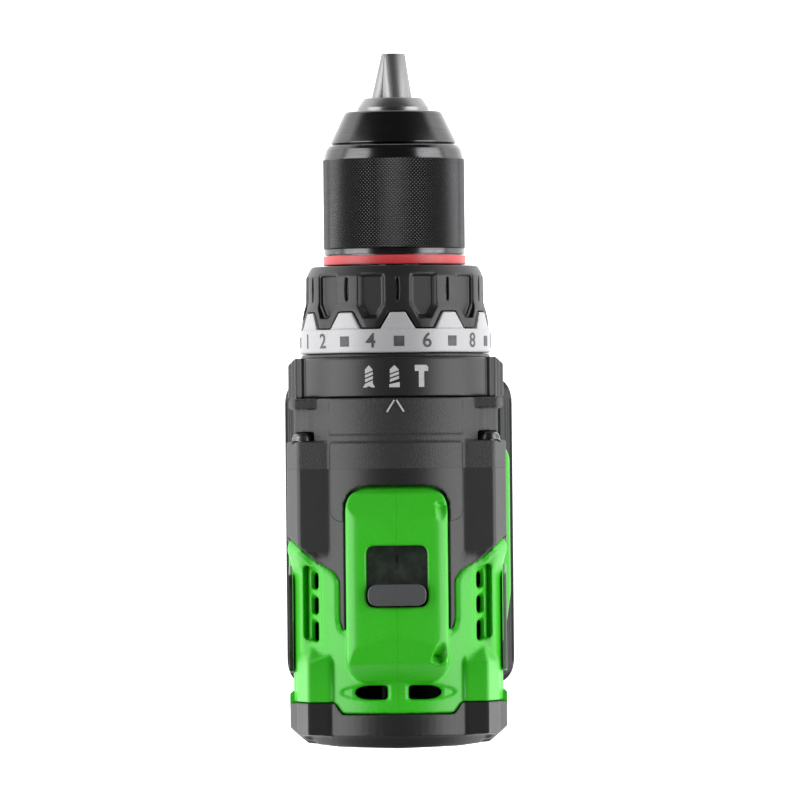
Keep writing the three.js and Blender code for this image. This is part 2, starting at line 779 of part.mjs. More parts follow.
/** The hump over the speed selector. */
function humpForm(thickness) {
  const { half, top, front, frontTop, rearTop, rear } = HUMP;
  const side = [
    [rear, 18],
    [front, 18],
    [front, HEAD.topR],
    [frontTop, top],
    [rearTop, top],
    [rear, HEAD.topR - 1],
  ];
  return prism(inset(side, thickness), 'X', -half + thickness, half - thickness);
}

/** The chin under the gearbox flange that holds the work light. */
function chinForm(thickness) {
  const top = HEAD.bottom - GAP;
  const side = [
    [CHIN.front - 24, top - 4],
    [CHIN.front - 16, top - CHIN.drop - 2],
    [CHIN.front, top - CHIN.drop],
    [CHIN.front, top],
    [HEAD.flangeRear - GAP - 4, top],
    [HEAD.flangeRear - GAP - 4, top + 6],
    [CHIN.front - 24, top + 6],
  ];
  return prism(inset(side, thickness), 'X', -CHIN.half + thickness, CHIN.half - thickness);
}

/** The handle: a cylinder reshaped to a rounded section that follows its stations. */
function handleForm(thickness) {
  const rows = 5;
  const geometry = new THREE.CylinderGeometry(1, 1, 1, 14, rows);
  const path = new THREE.CatmullRomCurve3(HANDLE.stations.map((row) => new THREE.Vector3(...row)));
  const place = geometry.attributes.position;
  for (let i = 0; i < place.count; i += 1) {
    const down = 0.5 - place.getY(i);
    const [front, back, half] = path.getPoint(down).toArray();
    const x = place.getX(i);
    const y = -place.getZ(i);
    const size = (Math.abs(x) ** HANDLE.squareness + Math.abs(y) ** HANDLE.squareness)
      ** (1 / HANDLE.squareness);
    const scale = size > 0 ? Math.hypot(x, y) / size : 0;
    place.setXYZ(
      i,
      x * scale * (half - thickness),
      (front + back) / 2 + y * scale * ((front - back) / 2 - thickness),
      HANDLE.top + (HANDLE.bottom - HANDLE.top) * down,
    );
  }
  return solid(geometry);
}

/** The foot that the battery slides onto, drawn from the ground up. */
function footForm(thickness) {
  const { half, front, rear } = FOOT;
  const plan = mirrored([
    [half - 8, rear],
    [half - 2, rear + 9],
    [half, rear + 22],
    [half, front - 9],
    [half - 5, front],
  ]);
  const section = mirrored([
    [half, FOOT.bottom],
    [half, FOOT.top - 7],
    [half - 9, FOOT.top],
  ]);
  const from = thickness ? FOOT.floor : FOOT.bottom;
  const body = prism(inset(plan, thickness), 'Z', from, FOOT.top);
  const across = prism(inset(section, thickness), 'Y', rear - 1, front + 1);
  return body.intersect(across).translate([0, 0, -AXIS_HEIGHT]);
}

/** The whole case, grown inward by a thickness. */
function caseForm(thickness) {
  return join(
    headForm(thickness),
    humpForm(thickness),
    chinForm(thickness),
    handleForm(thickness),
    footForm(thickness),
  );
}

/** The part of the case that is covered by soft overmould, grown outward by a clearance. */
function softRegion(grow) {
  const front = HEAD.flangeRear + 1;
  const plan = mirrored([
    [0, HUMP.rearTop + 1],
    [HUMP.half - 0.7, HUMP.rearTop + 1],
    [HUMP.half + 1.3, HUMP.rearTop + 4.4],
    [HUMP.half + 1.3, HEAD.waistEnd - 3],
    [HEAD.shoulderHalf - 6.8, HEAD.waistEnd + 1.7],
    [HEAD.shoulderHalf, HEAD.waistStart - 2],
    [HEAD.halfWidth + 4, HEAD.waistStart + 4],
    [HEAD.halfWidth + 4, front],
  ]);
  const side = [
    [-40, HANDLE.bottom + 12],
    [-30, HANDLE.bottom + 18],
    [front, HEAD.bottom - 0.5],
    [front, HEAD.sideTop],
    [HEAD.waistStart + 1, HEAD.sideTop],
    [HEAD.waistStart - 2, -8],
    [-62, -26],
    [-86, HEAD.bottom - 10],
    [-86, HANDLE.bottom + 12],
  ];
  const above = prism(inset(plan, -grow), 'Z', HEAD.sideTop - 1, HEAD.tongueR + 2);
  const plugHalf = HUMP.half + GAP - grow;
  const humpPlug = box(-plugHalf, plugHalf, -100, HUMP.front + GAP - grow, 0, 50);
  const below = prism(inset(side, -grow), 'X', -50, 50);
  return join(cut(above, humpPlug), below);
}

const screwPosts = [
  { y: -67, z: HANDLE.bottom + 44, head: 11 },
  { y: -53, z: HANDLE.bottom + 20, head: 11 },
  { y: -90, z: -27.6, head: 20 },
];

/** The places of the rear cap's two screws across the drill. */
const capScrews = [-HEAD.capScrewX, HEAD.capScrewX];

/** The posts that the rear cap's screws go into. */
function capPosts(radius, from, to) {
  return capScrews.map((x) => bar(radius, 'Y', from, to, x, 0, 12));
}

/** The bores and spaces that pass through the ribs and the end walls of the case. */
function caseBores() {
  const rear = HEAD.capFront;
  const rearOpening = prism(inset(headSection(), WALL), 'Y', rear - 1, rear + 4);
  return join(
    cut(rearOpening, ...capPosts(3.1, rear, rear + 18)),
    bar(MOTOR.statorR + GAP, 'Y', rear - 1, plateFront + 3, 0, 0, FINE),
    bar(gearTubeR + GAP, 'Y', plateRear - 3, HEAD.flangeRear + 1, 0, 0, FINE),
    box(-12.6, 12.6, -78.5, -31.8, SLIDER.plateTop - 8, SLIDER.plateTop + RUN),
  );
}

/** Everything that is hollow inside the case, apart from its ribs. */
function caseHollow() {
  const rear = HEAD.capFront;
  const rib = (y) => box(-40, 40, y - 1, y + 1, -40, 26);
  const posts = screwPosts.map(({ y, z }) => bar(3.4, 'X', -40, 40, y, z, 12));
  const hollow = cut(caseForm(WALL), rib(-60), rib(-76), rib(-27), ...posts);
  return join(cut(hollow, ...capPosts(3.1, rear, rear + 18)), caseBores());
}

/** The openings through the wall of the case. */
function caseOpenings() {
  const middle = (WINDOW.front + WINDOW.rear) / 2;
  const window = prism(
    roundedBox(0, middle, WINDOW.half, (WINDOW.front - WINDOW.rear) / 2, 2.5),
    'Z',
    SLIDER.plateTop - 3,
    HUMP.top + 5,
  );
  const trigger = box(
    -TRIGGER.half - RUN,
    TRIGGER.half + RUN,
    SWITCH.front - 2,
    TRIGGER.front + 10,
    TRIGGER.bottom - RUN,
    TRIGGER.top + RUN,
  );
  const lever = box(-40, 40, LEVER.rear - RUN, LEVER.front + RUN, LEVER.bottom - RUN, LEVER.top + RUN);
  const lens = box(-4.5, 4.5, CHIN.front - 3, CHIN.front + 1, HEAD.bottom - 4.6, HEAD.bottom - 1.4);
  const vents = [-1, 1].flatMap((side) => [0, 1, 2].map((i) => {
    const y = HEAD.waistEnd - 3.4 - 7.6 * i;
    const x = side * 25.9;
    return box(x - 2.1, x + 2.1, y - 2.9, y + 2.9, 0, 40);
  }));
  const outlets = [-1, 1].map((side) => {
    const x = side * 8.3;
    return box(x - 5.15, x + 5.15, HEAD.capFront + 4.4, HEAD.capFront + 8.9, 20, 40);
  });
  const screws = screwPosts.flatMap(({ y, z, head: seat }) => [
    bar(3.2, 'X', seat, 45, y, z, 12),
    bar(1.7, 'X', -8, seat + 1, y, z, 12),
  ]);
  const gearboxHoles = gearboxScrews.map(([x, z]) => bar(1.9, 'Y', -34, -20, x, z, 12));
  const capHoles = capScrews.map((x) => bar(1.6, 'Y', HEAD.capFront - 1, HEAD.capFront + 13, x, 0, 12));
  const holes = [...screws, ...gearboxHoles, ...capHoles];
  return join(window, trigger, lever, lens, ...vents, ...outlets, ...holes);
}

/** The T-slot under the foot, open to the front, with the notches that the latch hooks into. */
function footSlot() {
  const clear = RUN;
  const low = FOOT.bottom - 1 - AXIS_HEIGHT;
  const lip = RAIL.lip - clear - AXIS_HEIGHT;
  const top = RAIL.top + clear - AXIS_HEIGHT;
  const rear = RAIL.rear - 3.6;
  const neck = box(-RAIL.neck - clear, RAIL.neck + clear, rear, FOOT.front + 1, low, lip + 1);
  const headSlot = box(-RAIL.head - clear, RAIL.head + clear, rear, FOOT.front + 1, lip, top);
  const notches = [-1, 1].map((side) => {
    const x = side * LATCH.hookAt;
    const half = LATCH.hookHalf + RUN;
    return box(x - half, x + half, LATCH.rear - RUN, LATCH.rear + 4 + RUN, low, low + 5);
  });
  return join(neck, headSlot, ...notches);
}

const outer = caseForm(0);
const openings = caseOpenings();
const shell = cut(
  join(cut(outer, softRegion(GAP)), caseForm(SKIN + GAP).intersect(outer)),
  caseHollow(),
  openings,
  footSlot(),
);
const skin = cut(outer.subtract(caseForm(SKIN)).intersect(softRegion(0)), openings, caseBores());

/** One half of a solid, cut on the middle plane. */
function half(body, side) {
  const reach = 60;
  const from = side > 0 ? GAP / 2 : -reach;
  const to = side > 0 ? reach : -GAP / 2;
  return body.intersect(box(from, to, -150, 150, -AXIS_HEIGHT, 100));
}

for (const [name, side] of [['left', -1], ['right', 1]]) {
  piece(head, `housing_${name}`, half(shell, side), 'green');
  piece(head, `grip_${name}`, half(skin, side), 'soft');
}

/** A screw across the handle that pulls the two housing halves together. */
function housingScrew({ y, z, head: seat }) {
  const shank = bar(1.4, 'X', -6, seat + 1, y, z, 12);
  return join(shank, bar(2.8, 'X', seat + GAP, seat + 2.6, y, z, 12));
}

screwPosts.forEach((post, i) => piece(head, `housing_screw_${i + 1}`, housingScrew(post), 'darkSteel'));

/** The black cap on the back of the motor, with the rear bearing's seat. */
function rearCap() {
  const { capFront, capHalfWidth } = HEAD;
  const plan = mirrored([
    [capHalfWidth - 7, REAR_END],
    [capHalfWidth, REAR_END + 6.2],
    [capHalfWidth, capFront + 20],
  ]);
  const sidePlan = [
    [REAR_END, -26],
    [REAR_END + 6.2, HEAD.bottom],
    [capFront + 20, HEAD.bottom],
    [capFront + 20, HEAD.topR + 1],
    [REAR_END + 6.2, HEAD.topR + 1],
    [REAR_END, 25],
  ];
  const block = prism(inset(headSection(), -0.2), 'Y', REAR_END - 1, capFront)
    .intersect(prism(plan, 'Z', -60, 60))
    .intersect(prism(sidePlan, 'X', -60, 60));
  const hollow = prism(inset(headSection(), 3.2), 'Y', REAR_END + 4.4, capFront + 1)
    .intersect(prism(inset(plan, 3.2), 'Z', -60, 60));
  const seat = bar(MOTOR.bearingR + 3, 'Y', REAR_END + 3, rearBearingFront, 0, 0, COARSE);
  const bore = bar(MOTOR.bearingR + GAP, 'Y', REAR_END + 5, capFront + 2, 0, 0, COARSE);
  const posts = capScrews.map((x) => bar(4.2, 'Y', REAR_END + 3, capFront, x, 0, 16));
  const holes = capScrews.flatMap((x) => [
    bar(3.2, 'Y', REAR_END - 2, REAR_END + 6, x, 0, 12),
    bar(1.9, 'Y', REAR_END, capFront + 2, x, 0, 12),
  ]);
  const inside = join(seat, ...posts).intersect(block);
  return cut(join(cut(block, hollow), inside), bore, ...holes);
}

piece(head, 'rear_cap', rearCap(), 'black');
capScrews.forEach((x, i) => {
  const under = REAR_END + 6 - GAP;
  const shank = bar(1.4, 'Y', under - 1, HEAD.capFront + 12, x, 0, 12);
  const headPart = bar(2.8, 'Y', under - 2.2, under, x, 0, 12);
  piece(head, `rear_cap_screw_${i + 1}`, join(shank, headPart), 'darkSteel');
});

/** The speed selector: a plate under the window and the knob that stands up through it. */
function speedSlider() {
  const { plateTop, plate, knobLength, knobRise, travel } = SLIDER;
  const rear = WINDOW.rear - travel - 1.2;
  const front = WINDOW.front + 0.9;
  const sheet = box(-12, 12, rear, front, plateTop - plate, plateTop);
  const knobMiddle = WINDOW.rear + GAP + knobLength / 2;
  const pill = roundedBox(0, knobMiddle, WINDOW.half - GAP, knobLength / 2, knobLength / 2 - 0.05);
  return join(sheet, prism(pill, 'Z', plateTop - 0.5, plateTop + knobRise));
}

/** The trigger, seen from the side. */
function trigger() {
  const { front, rear, top, bottom } = TRIGGER;
  const side = [
    [rear, bottom],
    [front - 6, bottom],
    [front - 1.5, bottom + 8],
    [front, top - 9],
    [front - 2, top - 2.5],
    [front - 4, top],
    [rear, top],
  ];
  return prism(side, 'X', -TRIGGER.half, TRIGGER.half);
}

piece(head, 'speed_slider', speedSlider(), 'black');
piece(head, 'trigger', trigger(), 'black');
const switchBody = box(-SWITCH.half, SWITCH.half, SWITCH.rear, SWITCH.front, SWITCH.bottom, SWITCH.top);
piece(head, 'trigger_switch', switchBody, 'black');
piece(
  head,
  'direction_lever',
  prism(
    roundedBox((LEVER.front + LEVER.rear) / 2, (LEVER.top + LEVER.bottom) / 2, 4, 2, 1),
    'X',
    -LEVER.half,
    LEVER.half,
  ),
  'black',
);
const lensTop = HEAD.bottom - 1.4 - GAP;
piece(
  head,
  'led_lens',
  box(-4.2, 4.2, CHIN.front - 2.7, CHIN.front + 0.5, lensTop - 2.6, lensTop),
  'clear',
);

/** A plain badge plate on the side of the motor, with a slanted front end. */
function badge(side) {
  const corners = [[-84, -10], [-54, -10], [-51, 0], [-54, 10], [-84, 10]];
  const from = HEAD.rearHalfWidth + GAP;
  const plate = prism(corners, 'X', from, from + 1);
  return side > 0 ? plate : plate.mirror([1, 0, 0]);
}

piece(head, 'badge_left', badge(-1), 'black');
piece(head, 'badge_right', badge(1), 'grey');

// ---------------------------------------------------------------- foot electronics

/** Where the four terminal blades stand across the drill. */
const bladePlaces = [-9, -3, 3, 9];

/** The terminal block at the back of the foot's slot, with four blades that point forward. */
function terminalBlock() {
  const body = box(-16, 16, RAIL.rear - 3.3, RAIL.rear - 0.5, 51, RAIL.top);
  const blades = bladePlaces.map((x) => {
    return box(x - 0.4, x + 0.4, RAIL.rear - 1, RAIL.rear + 11, 52.4, 57.4);
  });
  return join(body, ...blades);
}

piece(base, 'terminal_block', terminalBlock(), 'grey');
piece(base, 'control_board', box(-24, 24, -64, -18, FOOT.floor + GAP, FOOT.floor + 2), 'green');

// ---------------------------------------------------------------- battery

/** The battery's outline from above, moved inward by a thickness. */
function batteryPlan(thickness) {
  const { half: halfX, front, rear, corner } = BATTERY;
  const halfY = (front - rear) / 2;
  return roundedBox(0, (front + rear) / 2, halfX - thickness, halfY - thickness, corner - thickness);
}

/** The tray that holds the cells. */
function batteryTray() {
  const { split, wall } = BATTERY;
  const outerBody = prism(batteryPlan(0), 'Z', 2, split);
  const sole = prism(batteryPlan(2), 'Z', 0, 3);
  return join(outerBody, sole).subtract(prism(batteryPlan(wall), 'Z', wall, split + 1));
}

/** The lid with the T-rail that slides into the foot. */
function batteryLid() {
  const { split, top, wall } = BATTERY;
  const lid = prism(batteryPlan(0), 'Z', split + GAP, top);
  const hollow = prism(batteryPlan(wall), 'Z', split - 1, top - 10.5);
  const neck = box(-RAIL.neck, RAIL.neck, RAIL.rear, RAIL.front, top - 1, RAIL.lip + 1);
  const railHead = box(-RAIL.head, RAIL.head, RAIL.rear, RAIL.front, RAIL.lip, RAIL.top);
  const slots = bladePlaces.map((x) => {
    return box(x - 0.9, x + 0.9, RAIL.rear - 1, RAIL.rear + 12, 51.8, 58);
  });
  const pocket = box(
    -LATCH.half - RUN,
    LATCH.half + RUN,
    LATCH.rear - RUN,
    LATCH.front + RUN,
    top - LATCH.plate - LATCH.travel - RUN,
    top + 1,
  );
  const button = box(-6.4, 6.4, BATTERY.front - 6, BATTERY.front + 1, split + 3.6, split + 9.4);
  return cut(join(lid, neck, railHead), hollow, pocket, button, ...slots);
}

/** The release latch: a plate in the lid's pocket, a thumb pad and two hooks. */
function batteryLatch() {
  const { top } = BATTERY;
  const { half: halfX, front, rear, plate, hookHalf, hookAt } = LATCH;
  const sheet = box(-halfX, halfX, rear, front, top - plate, top - GAP);
  const pad = box(-13, 13, front - 11, front - 1, top - 1, top + 2.4);
  const hooks = [-hookAt, hookAt].map((x) => {
    return box(x - hookHalf, x + hookHalf, rear, rear + 4, top - 1, top + 3.4);
  });
  return join(sheet, pad, ...hooks);
}

/** Six cells welded into one pack, five in a row and one on top. */
function cellPack() {
  const { cellR, cellHalf, front, rear, wall } = BATTERY;
  const pitch = 2 * cellR - 0.2;
  const middle = (front + rear) / 2;
  const low = wall + 0.6 + cellR;
  const row = [-2, -1, 0, 1, 2].map((i) => bar(cellR, 'X', -cellHalf, cellHalf, middle + pitch * i, low));
  const upper = bar(cellR, 'X', -cellHalf, cellHalf, middle, low + 2 * cellR - 0.8);
  const strap = box(-6, 6, middle - 2 * pitch, middle + 2 * pitch, low - 2, low + 2);
  return join(...row, upper, strap);
}

piece(base, 'battery_lower_case', batteryTray(), 'black');
piece(base, 'battery_upper_case', batteryLid(), 'black');
piece(base, 'battery_latch', batteryLatch(), 'grey');
const buttonLow = BATTERY.split + 4;
const buttonRear = BATTERY.front - 4.4;
piece(
  base,
  'gauge_button',
  box(-6, 6, buttonRear, BATTERY.front + 0.8, buttonLow, buttonLow + 5),
  'grey',
);
piece(base, 'cell_pack', cellPack(), 'steel');

export default root;
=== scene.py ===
"""Cordless hammer drill: its visible pieces, built around the fixed frame.

Shapes are made in millimetres. Those of the head use the spindle's axis as y, with z counted
from that axis, and those of the foot and battery count z from the ground. A finished piece is
put into the frame, in metres, by Workshop.deliver.
"""

from __future__ import annotations

import json
import logging
import math
from collections.abc import Iterable, Sequence
from dataclasses import dataclass, field
from enum import Enum

import bmesh
import bpy
from mathutils import Matrix, Vector


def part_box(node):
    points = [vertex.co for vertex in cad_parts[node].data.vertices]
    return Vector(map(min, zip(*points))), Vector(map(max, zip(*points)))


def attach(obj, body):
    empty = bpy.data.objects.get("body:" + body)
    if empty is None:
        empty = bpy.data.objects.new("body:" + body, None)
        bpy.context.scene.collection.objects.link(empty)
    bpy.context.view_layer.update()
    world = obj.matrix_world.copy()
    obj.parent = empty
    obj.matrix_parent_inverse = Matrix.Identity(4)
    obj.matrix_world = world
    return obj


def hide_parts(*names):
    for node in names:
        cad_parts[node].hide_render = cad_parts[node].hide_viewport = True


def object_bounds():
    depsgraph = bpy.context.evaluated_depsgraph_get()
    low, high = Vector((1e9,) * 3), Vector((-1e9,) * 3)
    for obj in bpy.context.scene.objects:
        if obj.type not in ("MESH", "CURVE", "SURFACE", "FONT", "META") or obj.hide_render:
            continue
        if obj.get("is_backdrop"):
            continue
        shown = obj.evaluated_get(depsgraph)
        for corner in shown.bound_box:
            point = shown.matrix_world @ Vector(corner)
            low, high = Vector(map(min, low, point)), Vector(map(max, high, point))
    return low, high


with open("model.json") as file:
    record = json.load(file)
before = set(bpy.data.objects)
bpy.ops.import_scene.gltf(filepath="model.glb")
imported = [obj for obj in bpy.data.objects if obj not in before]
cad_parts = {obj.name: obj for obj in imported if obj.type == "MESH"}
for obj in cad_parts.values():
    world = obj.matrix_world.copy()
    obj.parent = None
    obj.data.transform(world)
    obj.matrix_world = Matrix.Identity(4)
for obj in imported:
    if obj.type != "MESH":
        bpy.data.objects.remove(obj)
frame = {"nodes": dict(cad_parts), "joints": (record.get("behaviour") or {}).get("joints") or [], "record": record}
CAD_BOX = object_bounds()

LOG = logging.getLogger("drill")
MM = 0.001
SEAM = 0.02

Point = tuple[float, float]
Outline = Sequence[Point]


class Axis(Enum):
    """The direction a prism or a bar runs in."""

    X = "x"
    Y = "y"
    Z = "z"


class Place(Enum):
    """The frame that a shape's z is counted in."""

    HEAD = "head"
    GROUND = "ground"


def axis_height() -> float:
    """The spindle axis's height above the ground, in millimetres.

    Returns:
        The height.
    """
    joint = next(j for j in frame["joints"] if j["name"] == "chuck_spin")
    return joint["pos_m"][2] / MM


AXIS_HEIGHT = axis_height()


def span(node: str, axis: int, place: Place = Place.HEAD) -> tuple[float, float]:
    """Reads how far a node reaches along one axis.

    Args:
        node: The node's name.
        axis: 0, 1 or 2 for x, y or z.
        place: The frame to count z in.

    Returns:
        The lowest and highest value in millimetres.
    """
    low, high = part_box(node)
    drop = AXIS_HEIGHT if axis == 2 and place is Place.HEAD else 0.0
    return low[axis] / MM - drop, high[axis] / MM - drop


# ------------------------------------------------------------------ outlines


def mirrored(half: Outline) -> list[Point]:
    """Adds the mirror image of a half outline that runs from bottom to top on the +x side.

    Args:
        half: Half the outline, from bottom to top.

    Returns:
        The whole outline.
    """
    return list(half) + [(-x, y) for x, y in reversed(half) if abs(x) > 1e-9]


def arc(centre: Point, radius: float, start: float, stop: float, steps: int) -> list[Point]:
    """Points on an arc.

    Args:
        centre: The arc's centre.
        radius: Its radius.
        start: The first angle, in degrees.
        stop: The last angle, in degrees.
        steps: How many steps lie between them.

    Returns:
        The points, both ends included.
    """
    angles = [math.radians(start + (stop - start) * i / steps) for i in range(steps + 1)]
    return [(centre[0] + radius * math.cos(a), centre[1] + radius * math.sin(a)) for a in angles]


def filleted(corners: Outline, radius: float | Sequence[float], steps: int = 5) -> list[Point]:
    """Rounds the corners of a closed outline.

    Args:
        corners: The corners, in order.
        radius: One radius, or one for each corner.
        steps: Steps in each round.

    Returns:
        The rounded outline.
    """
    count = len(corners)
    radii = list(radius) if isinstance(radius, (list, tuple)) else [radius] * count
    made: list[Point] = []
    for i, corner in enumerate(corners):
        here = Vector(corner)
        before = Vector(corners[i - 1]) - here
        after = Vector(corners[(i + 1) % count]) - here
        turn = before.angle(after)
        want = radii[i] / math.tan(turn / 2) if radii[i] > 0 and turn < 3.1 else 0.0
        reach = min(want, before.length * 0.48, after.length * 0.48)
        if reach < 0.02:
            made.append((here.x, here.y))
            continue
        first, last = here + before.normalized() * reach, here + after.normalized() * reach
        for k in range(steps + 1):
            t = k / steps
            point = first * (1 - t) ** 2 + here * (2 * t * (1 - t)) + last * t**2
            made.append((point.x, point.y))
    return made


def inset(corners: Outline, distance: float) -> list[Point]:
    """Moves every edge of a counter-clockwise outline inward.

    Args:
        corners: The outline.
        distance: How far, or outward if negative.

    Returns:
        The moved outline.
    """
    made = []
    count = len(corners)
    for i, corner in enumerate(corners):
        a = (Vector(corner) - Vector(corners[i - 1])).normalized()
        b = (Vector(corners[(i + 1) % count]) - Vector(corner)).normalized()
        spread = 1 + a.dot(b)
        x = corner[0] - (a.y + b.y) * distance / spread
        made.append((x, corner[1] + (a.x + b.x) * distance / spread))
    return made


# ------------------------------------------------------------------ solids


def mesh_object(name: str, points: Sequence, faces: Sequence) -> bpy.types.Object:
    """Makes an object from points and faces.

    Args:
        name: The object's name.
        points: Its vertices.
        faces: Its faces, as vertex numbers.

    Returns:
        The object, linked to the scene.
    """
    mesh = bpy.data.meshes.new(name)
    mesh.from_pydata([tuple(p) for p in points], [], faces)
    mesh.update()
    made = bpy.data.objects.new(name, mesh)
    bpy.context.scene.collection.objects.link(made)
    return made


def outward(solid: bpy.types.Object) -> bpy.types.Object:
    """Turns a closed object's faces outward and returns it.

    Args:
        solid: The solid.

    Returns:
        The solid.
    """
    work = bmesh.new()
    work.from_mesh(solid.data)
    bmesh.ops.recalc_face_normals(work, faces=work.faces)
    work.to_mesh(solid.data)
    work.free()
    return solid


def prism(outline: Outline, axis: Axis, start: float, stop: float) -> bpy.types.Object:
    """Extrudes an outline along an axis.

    Args:
        outline: Corners in the two other axes, in the order y-z, x-z or x-y.
        axis: The direction.
        start: Where the prism starts on the axis.
        stop: Where it ends.

    Returns:
        The solid.
    """
    order = {
        Axis.X: lambda u, v, w: (w, u, v),
        Axis.Y: lambda u, v, w: (u, w, v),
        Axis.Z: lambda u, v, w: (u, v, w),
    }[axis]
    count = len(outline)
    points = [order(u, v, w) for w in (start, stop) for u, v in outline]
    faces = [(i, (i + 1) % count, count + (i + 1) % count, count + i) for i in range(count)]
    faces += [tuple(range(count)), tuple(range(count, 2 * count))]
    return outward(mesh_object("prism", points, faces))


def box(x0: float, x1: float, y0: float, y1: float, z0: float, z1: float) -> bpy.types.Object:
    """A box cutter between two corners.

    Args:
        x0: Its left side.
        x1: Its right side.
        y0: Its rear.
        y1: Its front.
        z0: Its bottom.
        z1: Its top.

    Returns:
        The solid.
    """
    return prism([(x0, y0), (x1, y0), (x1, y1), (x0, y1)], Axis.Z, z0, z1)


def bar(radius: float, axis: Axis, start: float, stop: float, at: Point = (0, 0),
    sides: int = 64) -> bpy.types.Object:
    """A round bar along an axis, through a point in the two other axes.

    Args:
        radius: The radius.
        axis: The direction it runs in.
        start: Where it starts.
        stop: Where it ends.
        at: Its place in the two other axes.
        sides: How many sides it has.

    Returns:
        The solid.
    """
    return prism(arc(at, radius, 0, 360 - 360 / sides, sides - 1), axis, start, stop)


def revolve(profile: Outline, segments: int = 96) -> bpy.types.Object:
    """Turns a profile round the spindle axis.

    Args:
        profile: Corners as (radius, y). It starts and ends on the axis, or closes on itself.
        segments: Steps round the axis.

    Returns:
        The solid.
    """
    open_ends = profile[0][0] == 0 and profile[-1][0] == 0
    points: list[tuple[float, float, float]] = []
    rows: list[list[int]] = []
    for radius, y in profile:
        if radius == 0:
            rows.append([len(points)] * segments)
            points.append((0, y, 0))
            continue
        rows.append(list(range(len(points), len(points) + segments)))
        for i in range(segments):
            angle = 2 * math.pi * i / segments
            points.append((radius * math.cos(angle), y, radius * math.sin(angle)))
    pairs = list(zip(rows, rows[1:])) + ([] if open_ends else [(rows[-1], rows[0])])
    faces = []
    for low, high in pairs:
        for i in range(segments):
            ring = [low[i], low[(i + 1) % segments], high[(i + 1) % segments], high[i]]
            corners = list(dict.fromkeys(ring))
            if len(corners) > 2:
                faces.append(corners)
    return outward(mesh_object("revolve", points, faces))


def loft(sections: Sequence[Sequence[Sequence[float]]]) -> bpy.types.Object:
    """Skins closed rings of points, and caps both ends.

    Args:
        sections: Rings with the same number of points, in order.

    Returns:
        The solid.
    """
    count = len(sections[0])
    points = [p for ring in sections for p in ring]
    faces: list[tuple[int, ...]] = []
    for row in range(len(sections) - 1):
        for i in range(count):
            j = (i + 1) % count
            faces.append((row * count + i, row * count + j, (row + 1) * count + j, (row + 1) * count + i))
    last = (len(sections) - 1) * count
    faces += [tuple(range(count)), tuple(range(last, last + count))]
    return outward(mesh_object("loft", points, faces))


def moved(solid: bpy.types.Object, matrix: Matrix) -> bpy.types.Object:
    """Moves an object's mesh, keeps its faces outward, and returns it.

    Args:
        solid: The solid.
        matrix: The change of place.

    Returns:
        The solid.
    """
    solid.data.transform(matrix)
    if matrix.determinant() < 0:
        solid.data.flip_normals()
    return solid


def spun(solid: bpy.types.Object, degrees: float) -> bpy.types.Object:
    """Turns an object's mesh about the spindle axis, from +z towards +x.

    Args:
        solid: The solid.
        degrees: The angle.

    Returns:
        The solid.
    """
    return moved(solid, Matrix.Rotation(math.radians(degrees), 4, "Y"))


def both_sides(solid: bpy.types.Object) -> list[bpy.types.Object]:
    """An object and its mirror image in the middle plane.

    Args:
        solid: The solid.

    Returns:
        The two solids.
    """
    other = solid.copy()
    other.data = solid.data.copy()
    bpy.context.scene.collection.objects.link(other)
    return [solid, moved(other, Matrix.Scale(-1, 4, (1, 0, 0)))]


def applied(solid: bpy.types.Object) -> bpy.types.Object:
    """Bakes an object's modifiers into its mesh and returns it.

    Args:
        solid: The solid.

    Returns:
        The solid.
    """
    graph = bpy.context.evaluated_depsgraph_get()
    mesh = bpy.data.meshes.new_from_object(solid.evaluated_get(graph))
    old = solid.data
    solid.modifiers.clear()
    solid.data = mesh
    bpy.data.meshes.remove(old)
    return solid


def combined(target: bpy.types.Object, tools: Iterable[bpy.types.Object], how: str) -> bpy.types.Object:
    """Joins, cuts or intersects a solid with others, which are used up.

    Args:
        target: The solid to change.
        tools: The other solids.
        how: UNION, DIFFERENCE or INTERSECT.

    Returns:
        The changed solid.
    """
    used = list(tools)
    for tool in used:
        change = target.modifiers.new("join", "BOOLEAN")
        change.operation = how
        change.solver = "MANIFOLD"
        change.object = tool
    applied(target)
    for tool in used:
        bpy.data.objects.remove(tool)
    return target


def join(target: bpy.types.Object, *tools: bpy.types.Object) -> bpy.types.Object:
    """Joins solids into the first.

    Args:
        target: The first solid, which is used up.
        tools: The others, which are used up.

    Returns:
        The solid.
    """
    return combined(target, tools, "UNION")


def cut(target: bpy.types.Object, *tools: bpy.types.Object) -> bpy.types.Object:
    """Cuts solids out of the first.

    Args:
        target: The first solid, which is used up.
        tools: The others, which are used up.

    Returns:
        The solid.
    """
    return combined(target, tools, "DIFFERENCE")


def overlap(target: bpy.types.Object, *tools: bpy.types.Object) -> bpy.types.Object:
    """Keeps what the first solid shares with each of the others.

    Args:
        target: The first solid, which is used up.
        tools: The others, which are used up.

    Returns:
        The solid.
    """
    return combined(target, tools, "INTERSECT")


def copy_of(solid: bpy.types.Object) -> bpy.types.Object:
    """A copy of a solid with a mesh of its own.

    Args:
        solid: The solid.

    Returns:
        The solid.
    """
    other = solid.copy()
    other.data = solid.data.copy()
    bpy.context.scene.collection.objects.link(other)
    return other


def softened(solid: bpy.types.Object, voxel: float, passes: int) -> bpy.types.Object:
    """Rounds a solid's edges the way a moulding's are, by a fine remesh and smoothing.

    Args:
        solid: The solid.
        voxel: The remesh size in millimetres.
        passes: Smoothing passes.

    Returns:
        The rounded solid.
    """
    remesh = solid.modifiers.new("remesh", "REMESH")
    remesh.mode = "VOXEL"
    remesh.voxel_size = voxel
    smooth = solid.modifiers.new("smooth", "SMOOTH")
    smooth.factor = 0.5
    smooth.iterations = passes
    return applied(solid)


